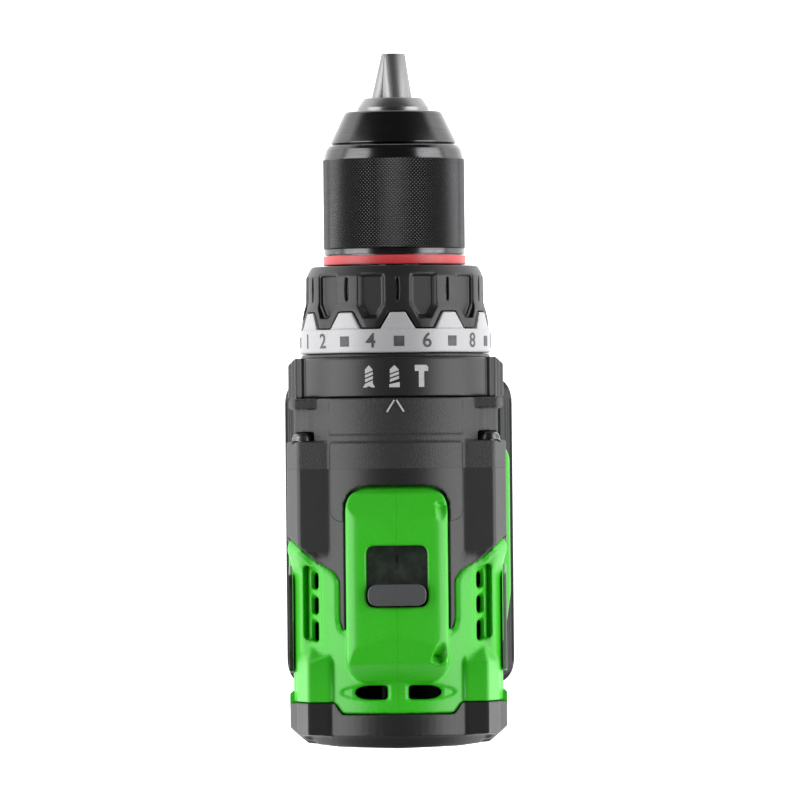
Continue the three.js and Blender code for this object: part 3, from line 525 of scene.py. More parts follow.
def bevelled(solid: bpy.types.Object, width: float, segments: int = 2, angle: float = 32) -> bpy.types.Object:
    """Bevels the sharp edges of a machined or crisp piece.

    Args:
        solid: The solid.
        width: The width of the bevel.
        segments: Its number of steps.
        angle: The least angle of an edge, in degrees.

    Returns:
        The solid.
    """
    work = bmesh.new()
    work.from_mesh(solid.data)
    bmesh.ops.remove_doubles(work, verts=work.verts, dist=0.002)
    bmesh.ops.dissolve_limit(work, angle_limit=math.radians(1), verts=work.verts, edges=work.edges)
    work.to_mesh(solid.data)
    work.free()
    bevel = solid.modifiers.new("bevel", "BEVEL")
    bevel.width = width
    bevel.segments = segments
    bevel.limit_method = "ANGLE"
    bevel.angle_limit = math.radians(angle)
    bevel.use_clamp_overlap = True
    return applied(solid)


def shaded(solid: bpy.types.Object, angle: float = 35) -> bpy.types.Object:
    """Shades a piece smooth, with edges over an angle kept sharp.

    Args:
        solid: The solid.
        angle: The least angle of an edge, in degrees.

    Returns:
        The solid.
    """
    work = bmesh.new()
    work.from_mesh(solid.data)
    for face in work.faces:
        face.smooth = True
    for edge in work.edges:
        sharp = len(edge.link_faces) != 2 or edge.calc_face_angle(0) > math.radians(angle)
        edge.smooth = not sharp
    work.to_mesh(solid.data)
    work.free()
    return solid


def merged(name: str, solids: Sequence[bpy.types.Object]) -> bpy.types.Object:
    """Gathers separate solids in one object.

    Args:
        name: The new object's name.
        solids: The solids, which are used up.

    Returns:
        The object that holds them all.
    """
    work = bmesh.new()
    for solid in solids:
        work.from_mesh(solid.data)
        bpy.data.objects.remove(solid)
    mesh = bpy.data.meshes.new(name)
    work.to_mesh(mesh)
    work.free()
    made = bpy.data.objects.new(name, mesh)
    bpy.context.scene.collection.objects.link(made)
    return made


def wrapped(flat: bpy.types.Object, radius: float, azimuth: float) -> bpy.types.Object:
    """Bends a flat solid round the spindle axis.

    Args:
        flat: A solid whose x runs round the cylinder and whose z is its height above it.
        radius: The cylinder's radius.
        azimuth: Degrees from +z towards +x at x = 0.

    Returns:
        The bent solid.
    """
    for vertex in flat.data.vertices:
        x, y, z = vertex.co
        angle = math.radians(azimuth) + x / radius
        vertex.co = ((radius + z) * math.sin(angle), y, (radius + z) * math.cos(angle))
    flat.data.update()
    return flat


def mark(outline: Outline, radius: float, azimuth: float, y: float) -> bpy.types.Object:
    """A thin printed or raised mark on a cylinder round the spindle axis.

    Args:
        outline: The outline of the mark.
        radius: The radius.
        azimuth: Degrees right of the top.
        y: The place along the spindle.

    Returns:
        The solid.
    """
    flat = prism([(u, v + y) for u, v in outline], Axis.Z, -0.12, 0.07)
    return wrapped(flat, radius, azimuth)


def numeral(text: str, height: float) -> bpy.types.Object:
    """A generic numeral as a thin flat solid, centred on the origin.

    Args:
        text: The digits.
        height: Their height in millimetres.

    Returns:
        The solid.
    """
    curve = bpy.data.curves.new("numeral", "FONT")
    curve.body = text
    curve.align_x, curve.align_y = "CENTER", "CENTER"
    curve.size = height / 0.73
    curve.extrude = 0.095
    curve.offset = 0.09
    curve.resolution_u = 5
    source = bpy.data.objects.new("numeral", curve)
    bpy.context.scene.collection.objects.link(source)
    graph = bpy.context.evaluated_depsgraph_get()
    mesh = bpy.data.meshes.new_from_object(source.evaluated_get(graph))
    bpy.data.objects.remove(source)
    made = bpy.data.objects.new("numeral", mesh)
    bpy.context.scene.collection.objects.link(made)
    return moved(made, Matrix.Translation((0, 0, -0.025)))


# ------------------------------------------------------------------ shader effects


def socket(tree: bpy.types.NodeTree, name: str, direction: str, kind: str,
    value: float | None = None) -> None:
    """Adds a named socket to a node group.

    Args:
        tree: The group.
        name: The socket's name.
        direction: INPUT or OUTPUT.
        kind: Its socket type.
        value: An input's default.
    """
    made = tree.interface.new_socket(name=name, in_out=direction, socket_type=kind)
    if value is not None:
        made.default_value = value


class Effect:
    """A node group under construction, with short calls for the nodes it is made of."""

    def __init__(self, name: str, inputs: dict[str, float], outputs: Sequence[str]) -> None:
        """Makes the group with a vector input, number inputs and number outputs.

        Args:
            name: The name.
            inputs: Names and defaults of its number inputs.
            outputs: Names of its number outputs.
        """
        self.tree = bpy.data.node_groups.new(name, "ShaderNodeTree")
        socket(self.tree, "Vector", "INPUT", "NodeSocketVector")
        for key, value in inputs.items():
            socket(self.tree, key, "INPUT", "NodeSocketFloat", value)
        for key in outputs:
            socket(self.tree, key, "OUTPUT", "NodeSocketFloat")
        self.source = self.tree.nodes.new("NodeGroupInput")
        self.sink = self.tree.nodes.new("NodeGroupOutput")

    def math(self, operation: str, a: object, b: object = 0.5, clamp: bool = False) -> bpy.types.NodeSocket:
        """Adds a math node whose operands are sockets or numbers, and returns its result.

        Args:
            operation: The operation.
            a: The first value.
            b: The second value.
            clamp: True to keep the result within 0 to 1.

        Returns:
            The result.
        """
        node = self.tree.nodes.new("ShaderNodeMath")
        node.operation = operation
        node.use_clamp = clamp
        for place, value in zip(node.inputs, (a, b)):
            if isinstance(value, (int, float)):
                place.default_value = value
            else:
                self.tree.links.new(value, place)
        return node.outputs[0]

    def scaled(self, factor: object, stretch: tuple[float, float, float] = (1, 1, 1)) -> bpy.types.NodeSocket:
        """The group's vector stretched along its axes and multiplied by a number.

        Args:
            factor: The factor.
            stretch: The stretch along x, y and z.

        Returns:
            The new vector.
        """
        shape = self.tree.nodes.new("ShaderNodeVectorMath")
        shape.operation = "MULTIPLY"
        shape.inputs[1].default_value = stretch
        self.tree.links.new(self.source.outputs["Vector"], shape.inputs[0])
        grow = self.tree.nodes.new("ShaderNodeVectorMath")
        grow.operation = "SCALE"
        self.tree.links.new(shape.outputs[0], grow.inputs[0])
        if isinstance(factor, (int, float)):
            grow.inputs["Scale"].default_value = factor
        else:
            self.tree.links.new(factor, grow.inputs["Scale"])
        return grow.outputs[0]

    def noise(self, vector: bpy.types.NodeSocket, detail: float = 3,
        roughness: float = 0.55) -> bpy.types.NodeSocket:
        """Adds a noise texture at scale 1 and returns its value.

        Args:
            vector: The place to read it at.
            detail: The octaves.
            roughness: How strong the fine octaves are.

        Returns:
            The value of the noise.
        """
        node = self.tree.nodes.new("ShaderNodeTexNoise")
        node.inputs["Scale"].default_value = 1
        node.inputs["Detail"].default_value = detail
        node.inputs["Roughness"].default_value = roughness
        self.tree.links.new(vector, node.inputs["Vector"])
        return node.outputs[0]

    def ramp(self, value: bpy.types.NodeSocket, low: float, high: float) -> bpy.types.NodeSocket:
        """Maps a value smoothly from low..high to 0..1.

        Args:
            value: The value.
            low: The value that gives 0.
            high: The value that gives 1.

        Returns:
            The mapped value.
        """
        node = self.tree.nodes.new("ShaderNodeMapRange")
        node.interpolation_type = "SMOOTHSTEP"
        node.inputs["From Min"].default_value = low
        node.inputs["From Max"].default_value = high
        self.tree.links.new(value, node.inputs["Value"])
        return node.outputs[0]

    def give(self, name: str, value: bpy.types.NodeSocket) -> None:
        """Sends a value out of the group.

        Args:
            name: The name.
            value: The value.
        """
        self.tree.links.new(value, self.sink.inputs[name])


def grain_effect() -> bpy.types.NodeTree:
    """The spark-eroded grain of a moulding: a fine height and a tone that follows it.

    Returns:
        The node group.
    """
    effect = Effect("Moulded grain", {"Scale": 1500.0, "Depth": 1.0}, ("Height", "Tone"))
    size = effect.source.outputs["Scale"]
    fine = effect.noise(effect.scaled(size), 2, 0.5)
    cells = effect.tree.nodes.new("ShaderNodeTexVoronoi")
    cells.inputs["Scale"].default_value = 0.8
    effect.tree.links.new(effect.scaled(size), cells.inputs["Vector"])
    both = effect.math("ADD", effect.math("MULTIPLY", fine, 0.65),
        effect.math("MULTIPLY", cells.outputs[0], 0.35))
    effect.give("Height", effect.math("MULTIPLY", both, effect.source.outputs["Depth"]))
    effect.give("Tone", effect.ramp(fine, 0.32, 0.68))
    return effect.tree


def wear_and_highlight_effect() -> bpy.types.NodeTree:
    """Rubbed edges, and a painted edge highlight where a finish's edge colour is a lit colour: a factor on convex
    edges, broken up by noise.

    Returns:
        The node group.
    """
    effect = Effect("Edge wear and highlight", {"Amount": 0.3}, ("Factor",))
    shape = effect.tree.nodes.new("ShaderNodeNewGeometry")
    edge = effect.ramp(shape.outputs["Pointiness"], 0.52, 0.6)
    patches = effect.ramp(effect.noise(effect.scaled(260.0), 4, 0.6), 0.42, 0.66)
    mixed = effect.math("MULTIPLY", edge, patches)
    effect.give("Factor", effect.math("MULTIPLY", mixed, effect.source.outputs["Amount"], True))
    return effect.tree


def dust_effect() -> bpy.types.NodeTree:
    """A thin film of dust on faces that look up, with soft patches.

    Returns:
        The node group.
    """
    effect = Effect("Settled dust", {"Amount": 0.1}, ("Factor",))
    shape = effect.tree.nodes.new("ShaderNodeNewGeometry")
    split = effect.tree.nodes.new("ShaderNodeSeparateXYZ")
    effect.tree.links.new(shape.outputs["Normal"], split.inputs[0])
    up = effect.ramp(split.outputs["Z"], 0.2, 1.0)
    patches = effect.ramp(effect.noise(effect.scaled(70.0), 5, 0.6), 0.35, 0.75)
    specks = effect.ramp(effect.noise(effect.scaled(1900.0), 1, 0.5), 0.62, 0.72)
    film = effect.math("ADD", patches, effect.math("MULTIPLY", specks, 0.8))
    mixed = effect.math("MULTIPLY", up, film)
    effect.give("Factor", effect.math("MULTIPLY", mixed, effect.source.outputs["Amount"], True))
    return effect.tree


def handling_effect() -> bpy.types.NodeTree:
    """Handling marks: a slow change of roughness, centred on zero.

    Returns:
        The node group.
    """
    effect = Effect("Handling marks", {"Amount": 0.1}, ("Offset", "Tone"))
    slow = effect.noise(effect.scaled(42.0), 4, 0.6)
    smears = effect.noise(effect.scaled(220.0, (1, 0.25, 1)), 3, 0.5)
    both = effect.math("ADD", effect.math("MULTIPLY", slow, 0.6), effect.math("MULTIPLY", smears, 0.4))
    centred = effect.math("SUBTRACT", both, 0.5)
    effect.give("Offset", effect.math("MULTIPLY", centred, effect.source.outputs["Amount"]))
    effect.give("Tone", both)
    return effect.tree


def turning_effect() -> bpy.types.NodeTree:
    """Lathe marks: fine rings across the spindle axis.

    Returns:
        The node group.
    """
    effect = Effect("Lathe marks", {"Scale": 9000.0}, ("Height", "Tone"))
    rings = effect.noise(effect.scaled(effect.source.outputs["Scale"], (0.02, 1, 0.02)), 2, 0.5)
    effect.give("Height", rings)
    effect.give("Tone", effect.ramp(rings, 0.3, 0.7))
    return effect.tree


@dataclass(frozen=True)
class Effects:
    """The node groups that the finishes share."""

    grain: bpy.types.NodeTree = field(default_factory=grain_effect)
    wear: bpy.types.NodeTree = field(default_factory=wear_and_highlight_effect)
    dust: bpy.types.NodeTree = field(default_factory=dust_effect)
    handling: bpy.types.NodeTree = field(default_factory=handling_effect)
    turning: bpy.types.NodeTree = field(default_factory=turning_effect)


Colour = tuple[float, float, float]


@dataclass(frozen=True)
class Finish:
    """A surface finish.

    Colours are linear. grain is the height of the grain in millimetres and grain_scale its
    cells per metre. lathe swaps the grain for lathe marks.
    """

    name: str
    colour: Colour
    roughness: float
    metallic: float = 0.0
    coat: float = 0.0
    grain: float = 0.03
    grain_scale: float = 1500.0
    tone: float = 0.12
    wear: float = 0.3
    # Colour on convex edges: rubbed wear on most finishes, and a painted edge highlight on green_plastic.
    wear_and_highlight_colour: Colour = (0.2, 0.2, 0.2)
    dust: float = 0.06
    handling: float = 0.12
    lathe: bool = False
    specular: float = 0.5

    def build(self, effects: Effects) -> bpy.types.Material:
        """Builds the material.

        Args:
            effects: The shared node groups.

        Returns:
            The material.
        """
        material = bpy.data.materials.new(self.name)
        material.use_nodes = True
        tree = material.node_tree
        shader = tree.nodes["Principled BSDF"]
        place = tree.nodes.new("ShaderNodeTexCoord").outputs["Object"]

        def effect(group: bpy.types.NodeTree, **values: float) -> bpy.types.Node:
            """Adds one of the shared groups with its values set.

            Args:
                group: The shared group.

            Returns:
                The node.
            """
            node = tree.nodes.new("ShaderNodeGroup")
            node.node_tree = group
            tree.links.new(place, node.inputs["Vector"])
            for key, value in values.items():
                node.inputs[key].default_value = value
            return node

        def mixed(factor: bpy.types.NodeSocket, a: object, b: Colour,
            share: float = 1.0) -> bpy.types.NodeSocket:
            """Mixes a colour or socket with another colour by a factor.

            Args:
                factor: The factor.
                a: The first value.
                b: The second value.
                share: How much of the factor to use.

            Returns:
                The mixed colour.
            """
            weight = tree.nodes.new("ShaderNodeMath")
            weight.operation = "MULTIPLY"
            weight.inputs[1].default_value = share
            tree.links.new(factor, weight.inputs[0])
            node = tree.nodes.new("ShaderNodeMix")
            node.data_type = "RGBA"
            tree.links.new(weight.outputs[0], node.inputs["Factor"])
            if isinstance(a, tuple):
                node.inputs[6].default_value = (*a, 1)
            else:
                tree.links.new(a, node.inputs[6])
            node.inputs[7].default_value = (*b, 1)
            return node.outputs[2]

        texture = (
            effect(effects.turning, Scale=self.grain_scale)
            if self.lathe
            else effect(effects.grain, Scale=self.grain_scale, Depth=1.0)
        )
        wear = effect(effects.wear, Amount=self.wear)
        dust = effect(effects.dust, Amount=self.dust)
        handling = effect(effects.handling, Amount=self.handling)
        pale = tuple(min(1.0, c * (1 + 2.2 * self.tone) + 0.02 * self.tone) for c in self.colour)
        deep = tuple(c * (1 - 0.9 * self.tone) for c in self.colour)
        tone = mixed(texture.outputs["Tone"], self.colour, pale, 0.6)
        shade = mixed(handling.outputs["Tone"], tone, deep, 0.7)
        # Convex edges take the edge colour: wear, and on the green a painted highlight.
        wear_and_highlight_mix = mixed(wear.outputs["Factor"], shade, self.wear_and_highlight_colour)
        tree.links.new(mixed(dust.outputs["Factor"], wear_and_highlight_mix, (0.42, 0.4, 0.37)), shader.inputs["Base Color"])
        rough = tree.nodes.new("ShaderNodeMath")
        rough.operation = "ADD"
        rough.use_clamp = True
        rough.inputs[1].default_value = self.roughness
        tree.links.new(handling.outputs["Offset"], rough.inputs[0])
        tree.links.new(rough.outputs[0], shader.inputs["Roughness"])
        bump = tree.nodes.new("ShaderNodeBump")
        bump.inputs["Strength"].default_value = 1
        bump.inputs["Distance"].default_value = self.grain * MM
        tree.links.new(texture.outputs["Height"], bump.inputs["Height"])
        tree.links.new(bump.outputs[0], shader.inputs["Normal"])
        shader.inputs["Metallic"].default_value = self.metallic
        shader.inputs["Coat Weight"].default_value = self.coat
        shader.inputs["Coat Roughness"].default_value = 0.12
        shader.inputs["Specular IOR Level"].default_value = self.specular
        return material


FINISHES = (
    Finish("jaw_steel", (0.26, 0.26, 0.265), 0.46, 1.0, grain=0.012, grain_scale=2600, tone=0.16, wear=0.1,
           wear_and_highlight_colour=(0.85, 0.85, 0.86), dust=0.02, handling=0.2),
    Finish("turned_steel", (0.22, 0.22, 0.225), 0.3, 1.0, grain=0.01, grain_scale=7000, tone=0.2, wear=0.1,
           wear_and_highlight_colour=(0.85, 0.85, 0.86), dust=0.02, handling=0.16, lathe=True),
    Finish("black_metal", (0.08, 0.08, 0.082), 0.2, 1.0, grain=0.004, grain_scale=6000, tone=0.3, wear=0.35,
           wear_and_highlight_colour=(0.3, 0.3, 0.31), dust=0.004, handling=0.1, lathe=True),
    Finish("red_plastic", (0.62, 0.05, 0.06), 0.36, grain=0.01, wear=0.15, wear_and_highlight_colour=(0.75, 0.2, 0.2),
    dust=0.03),
    Finish("machine_steel", (0.5, 0.5, 0.52), 0.32, 1.0, grain=0.012, grain_scale=5200, tone=0.2, lathe=True),
    Finish("screw_steel", (0.07, 0.07, 0.075), 0.3, 0.9, grain=0.01, grain_scale=2400, tone=0.3, wear=0.6,
           wear_and_highlight_colour=(0.45, 0.45, 0.45)),
    Finish("motor_iron", (0.12, 0.12, 0.125), 0.42, 0.8, grain=0.02, grain_scale=2600, tone=0.3, lathe=True),
    Finish("gearbox_black", (0.021, 0.021, 0.022), 0.46, grain=0.13, grain_scale=2900, tone=0.5, wear=0.25,
           wear_and_highlight_colour=(0.12, 0.12, 0.12), dust=0.006),
    Finish("grey_plastic", (0.16, 0.165, 0.17), 0.5, grain=0.03, tone=0.2),
    Finish("black_plastic", (0.012, 0.012, 0.0125), 0.4, grain=0.022, grain_scale=2600, tone=0.3, wear=0.2,
           wear_and_highlight_colour=(0.1, 0.1, 0.1), dust=0.005),
    Finish("soft_grip", (0.011, 0.011, 0.0115), 0.4, grain=0.03, grain_scale=2800, tone=0.3, wear=0.12,
           wear_and_highlight_colour=(0.08, 0.08, 0.08), dust=0.006),
    Finish("scale_silver", (0.43, 0.43, 0.44), 0.42, 0.15, grain=0.015, grain_scale=3000, tone=0.12,
    wear=0.12,
           wear_and_highlight_colour=(0.75, 0.75, 0.75), dust=0.02),
    # The green's edge colour is a lit green: on convex edges it paints a highlight along with the wear.
    Finish("green_plastic", (0.034, 0.49, 0.011), 0.38, grain=0.016, grain_scale=2000, tone=0.1, wear=0.12,
           wear_and_highlight_colour=(0.32, 0.74, 0.14), dust=0.015, handling=0.1),
    Finish("latch_grey", (0.09, 0.092, 0.095), 0.5, grain=0.03, tone=0.2),
    Finish("badge_black", (0.02, 0.02, 0.021), 0.22, coat=0.3, grain=0.006, tone=0.2),
    Finish("badge_grey", (0.3, 0.31, 0.32), 0.34, 0.4, grain=0.01, tone=0.15),
    Finish("circuit_green", (0.02, 0.2, 0.07), 0.4, coat=0.3, grain=0.02, tone=0.3),
    Finish("cell_wrap", (0.06, 0.16, 0.4), 0.35, coat=0.2, grain=0.01, tone=0.2),
    Finish("mark_grey", (0.5, 0.5, 0.51), 0.5, grain=0.01, tone=0.1, wear=0.2, wear_and_highlight_colour=(0.3, 0.3, 0.3)),
    Finish("mark_dark", (0.045, 0.045, 0.05), 0.5, grain=0.01, tone=0.2, wear=0.2),
    Finish("knob_grey", (0.075, 0.077, 0.08), 0.42, grain=0.02, grain_scale=2600, tone=0.2, wear=0.4,
           wear_and_highlight_colour=(0.25, 0.25, 0.25), dust=0.02),
)


@dataclass
class Workshop:
    """Holds the materials and puts finished pieces into the frame."""

    effects: Effects
    materials: dict[str, bpy.types.Material] = field(default_factory=dict)

    def prepare(self) -> None:
        """Builds every finish, and the clear lens."""
        for finish in FINISHES:
            self.materials[finish.name] = finish.build(self.effects)
        lens = Finish("clear_lens", (0.85, 0.9, 0.95), 0.08, grain=0.006, tone=0.05, wear=0.05, dust=0.05)
        self.materials["clear_lens"] = lens.build(self.effects)
        shader = self.materials["clear_lens"].node_tree.nodes["Principled BSDF"]
        shader.inputs["Transmission Weight"].default_value = 0.85
        shader.inputs["IOR"].default_value = 1.49

    def deliver(
        self,
        solid: bpy.types.Object,
        name: str,
        body: str,
        finish: str,
        *nodes: str,
        place: Place = Place.HEAD,
        slot: str | None = None,
    ) -> bpy.types.Object:
        """Puts a finished piece into the frame.

        Args:
            solid: The piece, in millimetres.
            name: Its name.
            body: The CAD body it rides on.
            finish: The name of its finish.
            nodes: The CAD nodes it stands for.
            place: The frame its z is counted in.
            slot: The record's material slot, if it isn't the finish's name. Not used.

        Returns:
            The piece, in metres.
        """
        lift = AXIS_HEIGHT if place is Place.HEAD else 0.0
        moved(solid, Matrix.Scale(MM, 4) @ Matrix.Translation((0, 0, lift)))
        solid.name = solid.data.name = name
        solid.data.materials.clear()
        solid.data.materials.append(self.materials[finish])
        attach(solid, body)
        if nodes:
            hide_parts(*nodes)
        LOG.info("%s: %d faces", name, len(solid.data.polygons))
        return solid

    def dress_frame(self) -> None:
        """Gives every CAD node that stays in view the finish of its material slot."""
        for row in frame["record"]["subparts"]:
            node = frame["nodes"][row["node"]]
            node.data.materials.clear()
            node.data.materials.append(self.materials[row["material_slot"]])


# ------------------------------------------------------------------ chuck


@dataclass
class Chuck:
    """The keyless chuck: jaws, nose, front cone, knurled sleeve and red ring."""

    shop: Workshop
    jaw_radius: float = 4.5
    jaw_length: float = 36.0
    knurl_round: int = 118
    knurl_depth: float = 0.29
    pitch: float = 1.17

    def build(self) -> None:
        """Makes every piece of the chuck."""
        self.jaws()
        self.body()
        self.cone()
        self.sleeve()
        self.red_ring()

    def jaw_bar(self, index: int, radius: float, start: float, stop: float) -> bpy.types.Object:
        """A bar on the axis of one jaw, between two distances back from its tip.

        Args:
            index: The jaw, from 1.
            radius: The bar's radius.
            start: Where it starts.
            stop: Where it ends.

        Returns:
            The bar.
        """
        joint = next(j for j in frame["joints"] if j["name"] == f"jaw_{index}_slide")
        back = Vector(joint["axis"])
        tilt = math.acos(-back.y)
        crossing = Vector((0, span("chuck_jaw_1", 1)[1] - 5.2, 0))
        first = 5.2 / math.cos(tilt)
        solid = bar(radius, Axis.Z, start - first, stop - first, sides=96)
        turn = back.to_track_quat("Z", "Y").to_matrix().to_4x4()
        return moved(solid, Matrix.Translation(crossing) @ turn)

    def wedge(self, index: int) -> bpy.types.Object:
        """The third of the circle that one jaw fills.

        Args:
            index: The jaw, from 1.

        Returns:
            The solid.
        """
        joint = next(j for j in frame["joints"] if j["name"] == f"jaw_{index}_slide")
        azimuth = math.atan2(joint["axis"][2], joint["axis"][0])
        apex, reach = 0.1, 30.0
        corners = [(apex, 0)] + [
            (apex + reach * math.cos(math.radians(60)),
            side * reach * math.sin(math.radians(60))) for side in (-1, 1)
        ]
        turned = []
        for x, z in corners:
            turned.append((x * math.cos(azimuth) - z * math.sin(azimuth),
                x * math.sin(azimuth) + z * math.cos(azimuth)))
        return prism(turned, Axis.Y, 40, span("chuck_jaw_1", 1)[1] - 0.05)

    def jaws(self) -> None:
        """Three jaws, each a ground bar cut to a third of the circle."""
        for index in (1, 2, 3):
            jaw = overlap(self.jaw_bar(index, self.jaw_radius, 0.02, self.jaw_length), self.wedge(index))
            jaw = shaded(bevelled(jaw, 0.22, 2, 24), 32)
            self.shop.deliver(jaw, f"jaw_{index}", f"jaw_{index}", "jaw_steel", f"chuck_jaw_{index}")

    def body(self) -> None:
        """The steel core, whose nose shows in front of the cone."""
        front = span("chuck_body", 1)[1]
        rear = span("chuck_body", 1)[0]
        nut_rear, nut_front = span("chuck_jaw_nut", 1)
        profile = [
            (6.7, rear), (19.5, rear), (19.5, nut_rear - 0.4), (12.8, nut_rear - 0.4),
            (12.8, nut_front + 0.4),
            (14.5, nut_front + 0.4), (14.5, front - 7.6), (11.0, front - 6.1), (11.0, front - 2.9),
            (10.75, front - 2.6),
            (9.15, front - 0.25), (8.85, front), (6.75, front), (6.6, front - 0.2), (6.6, rear + 14),
            (2.9, rear + 14), (2.9, rear + 11.6), (6.7, rear + 11.6),
        ]
        core = revolve(profile, 128)
        bores = [self.jaw_bar(i, self.jaw_radius + 0.3, -8, 72) for i in (1, 2, 3)]
        core = shaded(cut(core, *bores), 24)
        self.shop.deliver(core, "core", "chuck", "turned_steel", "chuck_body", slot="jaw_steel")

    def cone(self) -> None:
        """The black cone in front of the sleeve, with a rounded front edge."""
        rear, front = span("chuck_front_cone", 1)
        corners = [
            (11.35, front - 0.3), (11.6, front), (14.9, front), (19.55, rear + 0.5),
            (19.0, rear + 0.1), (18.9, rear - 0.27), (14.95, rear - 0.27),
            (14.9, front - 3.5), (11.35, front - 1.9),
        ]
        outline = filleted(corners, [0.1, 0.2, 1.5, 0.35, 0.1, 0.05, 0.1, 0.1, 0.1], 6)
        cone = shaded(revolve(outline, 160), 30)
        self.shop.deliver(cone, "cone", "sleeve", "black_metal", "chuck_front_cone")

    def sleeve(self) -> None:
        """The sleeve, with a rounded shoulder and diamond knurling cut as real geometry."""
        rear, front = span("chuck_sleeve", 1)
        radius = span("chuck_sleeve", 0)[1] - 0.02
        inner = radius - 1.9
        knurl_front, knurl_rear = front - 4.4, rear + 2.0
        rows = 2 * round((knurl_front - knurl_rear) / self.pitch)
        count = 2 * self.knurl_round
        shoulder = [
            (14.9, front), (19.9, front), (20.3, front - 0.25), (20.9, front - 1.2), (21.35, front - 2.6),
            (21.62, front - 3.9), (21.6, front - 4.25),
        ]
        rim = [(21.6, rear + 1.9), (21.8, rear + 1.7), (21.85, rear + 0.12), (21.75, rear), (inner, rear)]
        nut_front = span("chuck_jaw_nut", 1)[1]
        hollow = [(inner, nut_front + 0.4), (14.9, nut_front + 0.4)]
        profile: list[tuple[float, float, bool]] = [(r, y, False) for r, y in shoulder]
        for row in range(rows + 1):
            profile.append((radius, knurl_front + (knurl_rear - knurl_front) * row / rows, True))
        profile += [(r, y, False) for r, y in rim + hollow]
        points = []
        knurl_row = 0
        lifted: list[list[bool]] = []
        for r, y, knurled in profile:
            flags = []
            for i in range(count):
                peak = (i + knurl_row) % 2 == 0
                height = r if not knurled or peak else r - self.knurl_depth
                angle = 2 * math.pi * i / count
                points.append((height * math.sin(angle), y, height * math.cos(angle)))
                flags.append(peak)
            lifted.append(flags)
            knurl_row += knurled
        faces = []
        for row in range(len(profile)):
            low, high = row * count, ((row + 1) % len(profile)) * count
            for i in range(count):
                j = (i + 1) % count
                quad = (low + i, low + j, high + j, high + i)
                if not (profile[row][2] and profile[(row + 1) % len(profile)][2]):
                    faces.append(quad)
                elif lifted[row][i]:
                    faces += [(quad[0], quad[1], quad[3]), (quad[1], quad[2], quad[3])]
                else:
                    faces += [(quad[0], quad[1], quad[2]), (quad[0], quad[2], quad[3])]
        solid = shaded(outward(mesh_object("sleeve", points, faces)), 11)
        self.shop.deliver(solid, "knurled_sleeve", "sleeve", "black_metal", "chuck_sleeve")

    def red_ring(self) -> None:
        """The red ring behind the sleeve, with a step and no lettering."""
        rear, front = span("chuck_rear_ring", 1)
        outer = span("chuck_rear_ring", 0)[1] - 0.02
        corners = [(19.9, rear), (outer, rear), (outer, front - 0.1), (outer - 0.4, front), (19.9, front)]
        ring = shaded(revolve(filleted(corners, [0, 0.25, 0.3, 0.2, 0], 4), 160), 30)
        self.shop.deliver(ring, "red_ring", "chuck", "red_plastic", "chuck_rear_ring")


# ------------------------------------------------------------------ collars


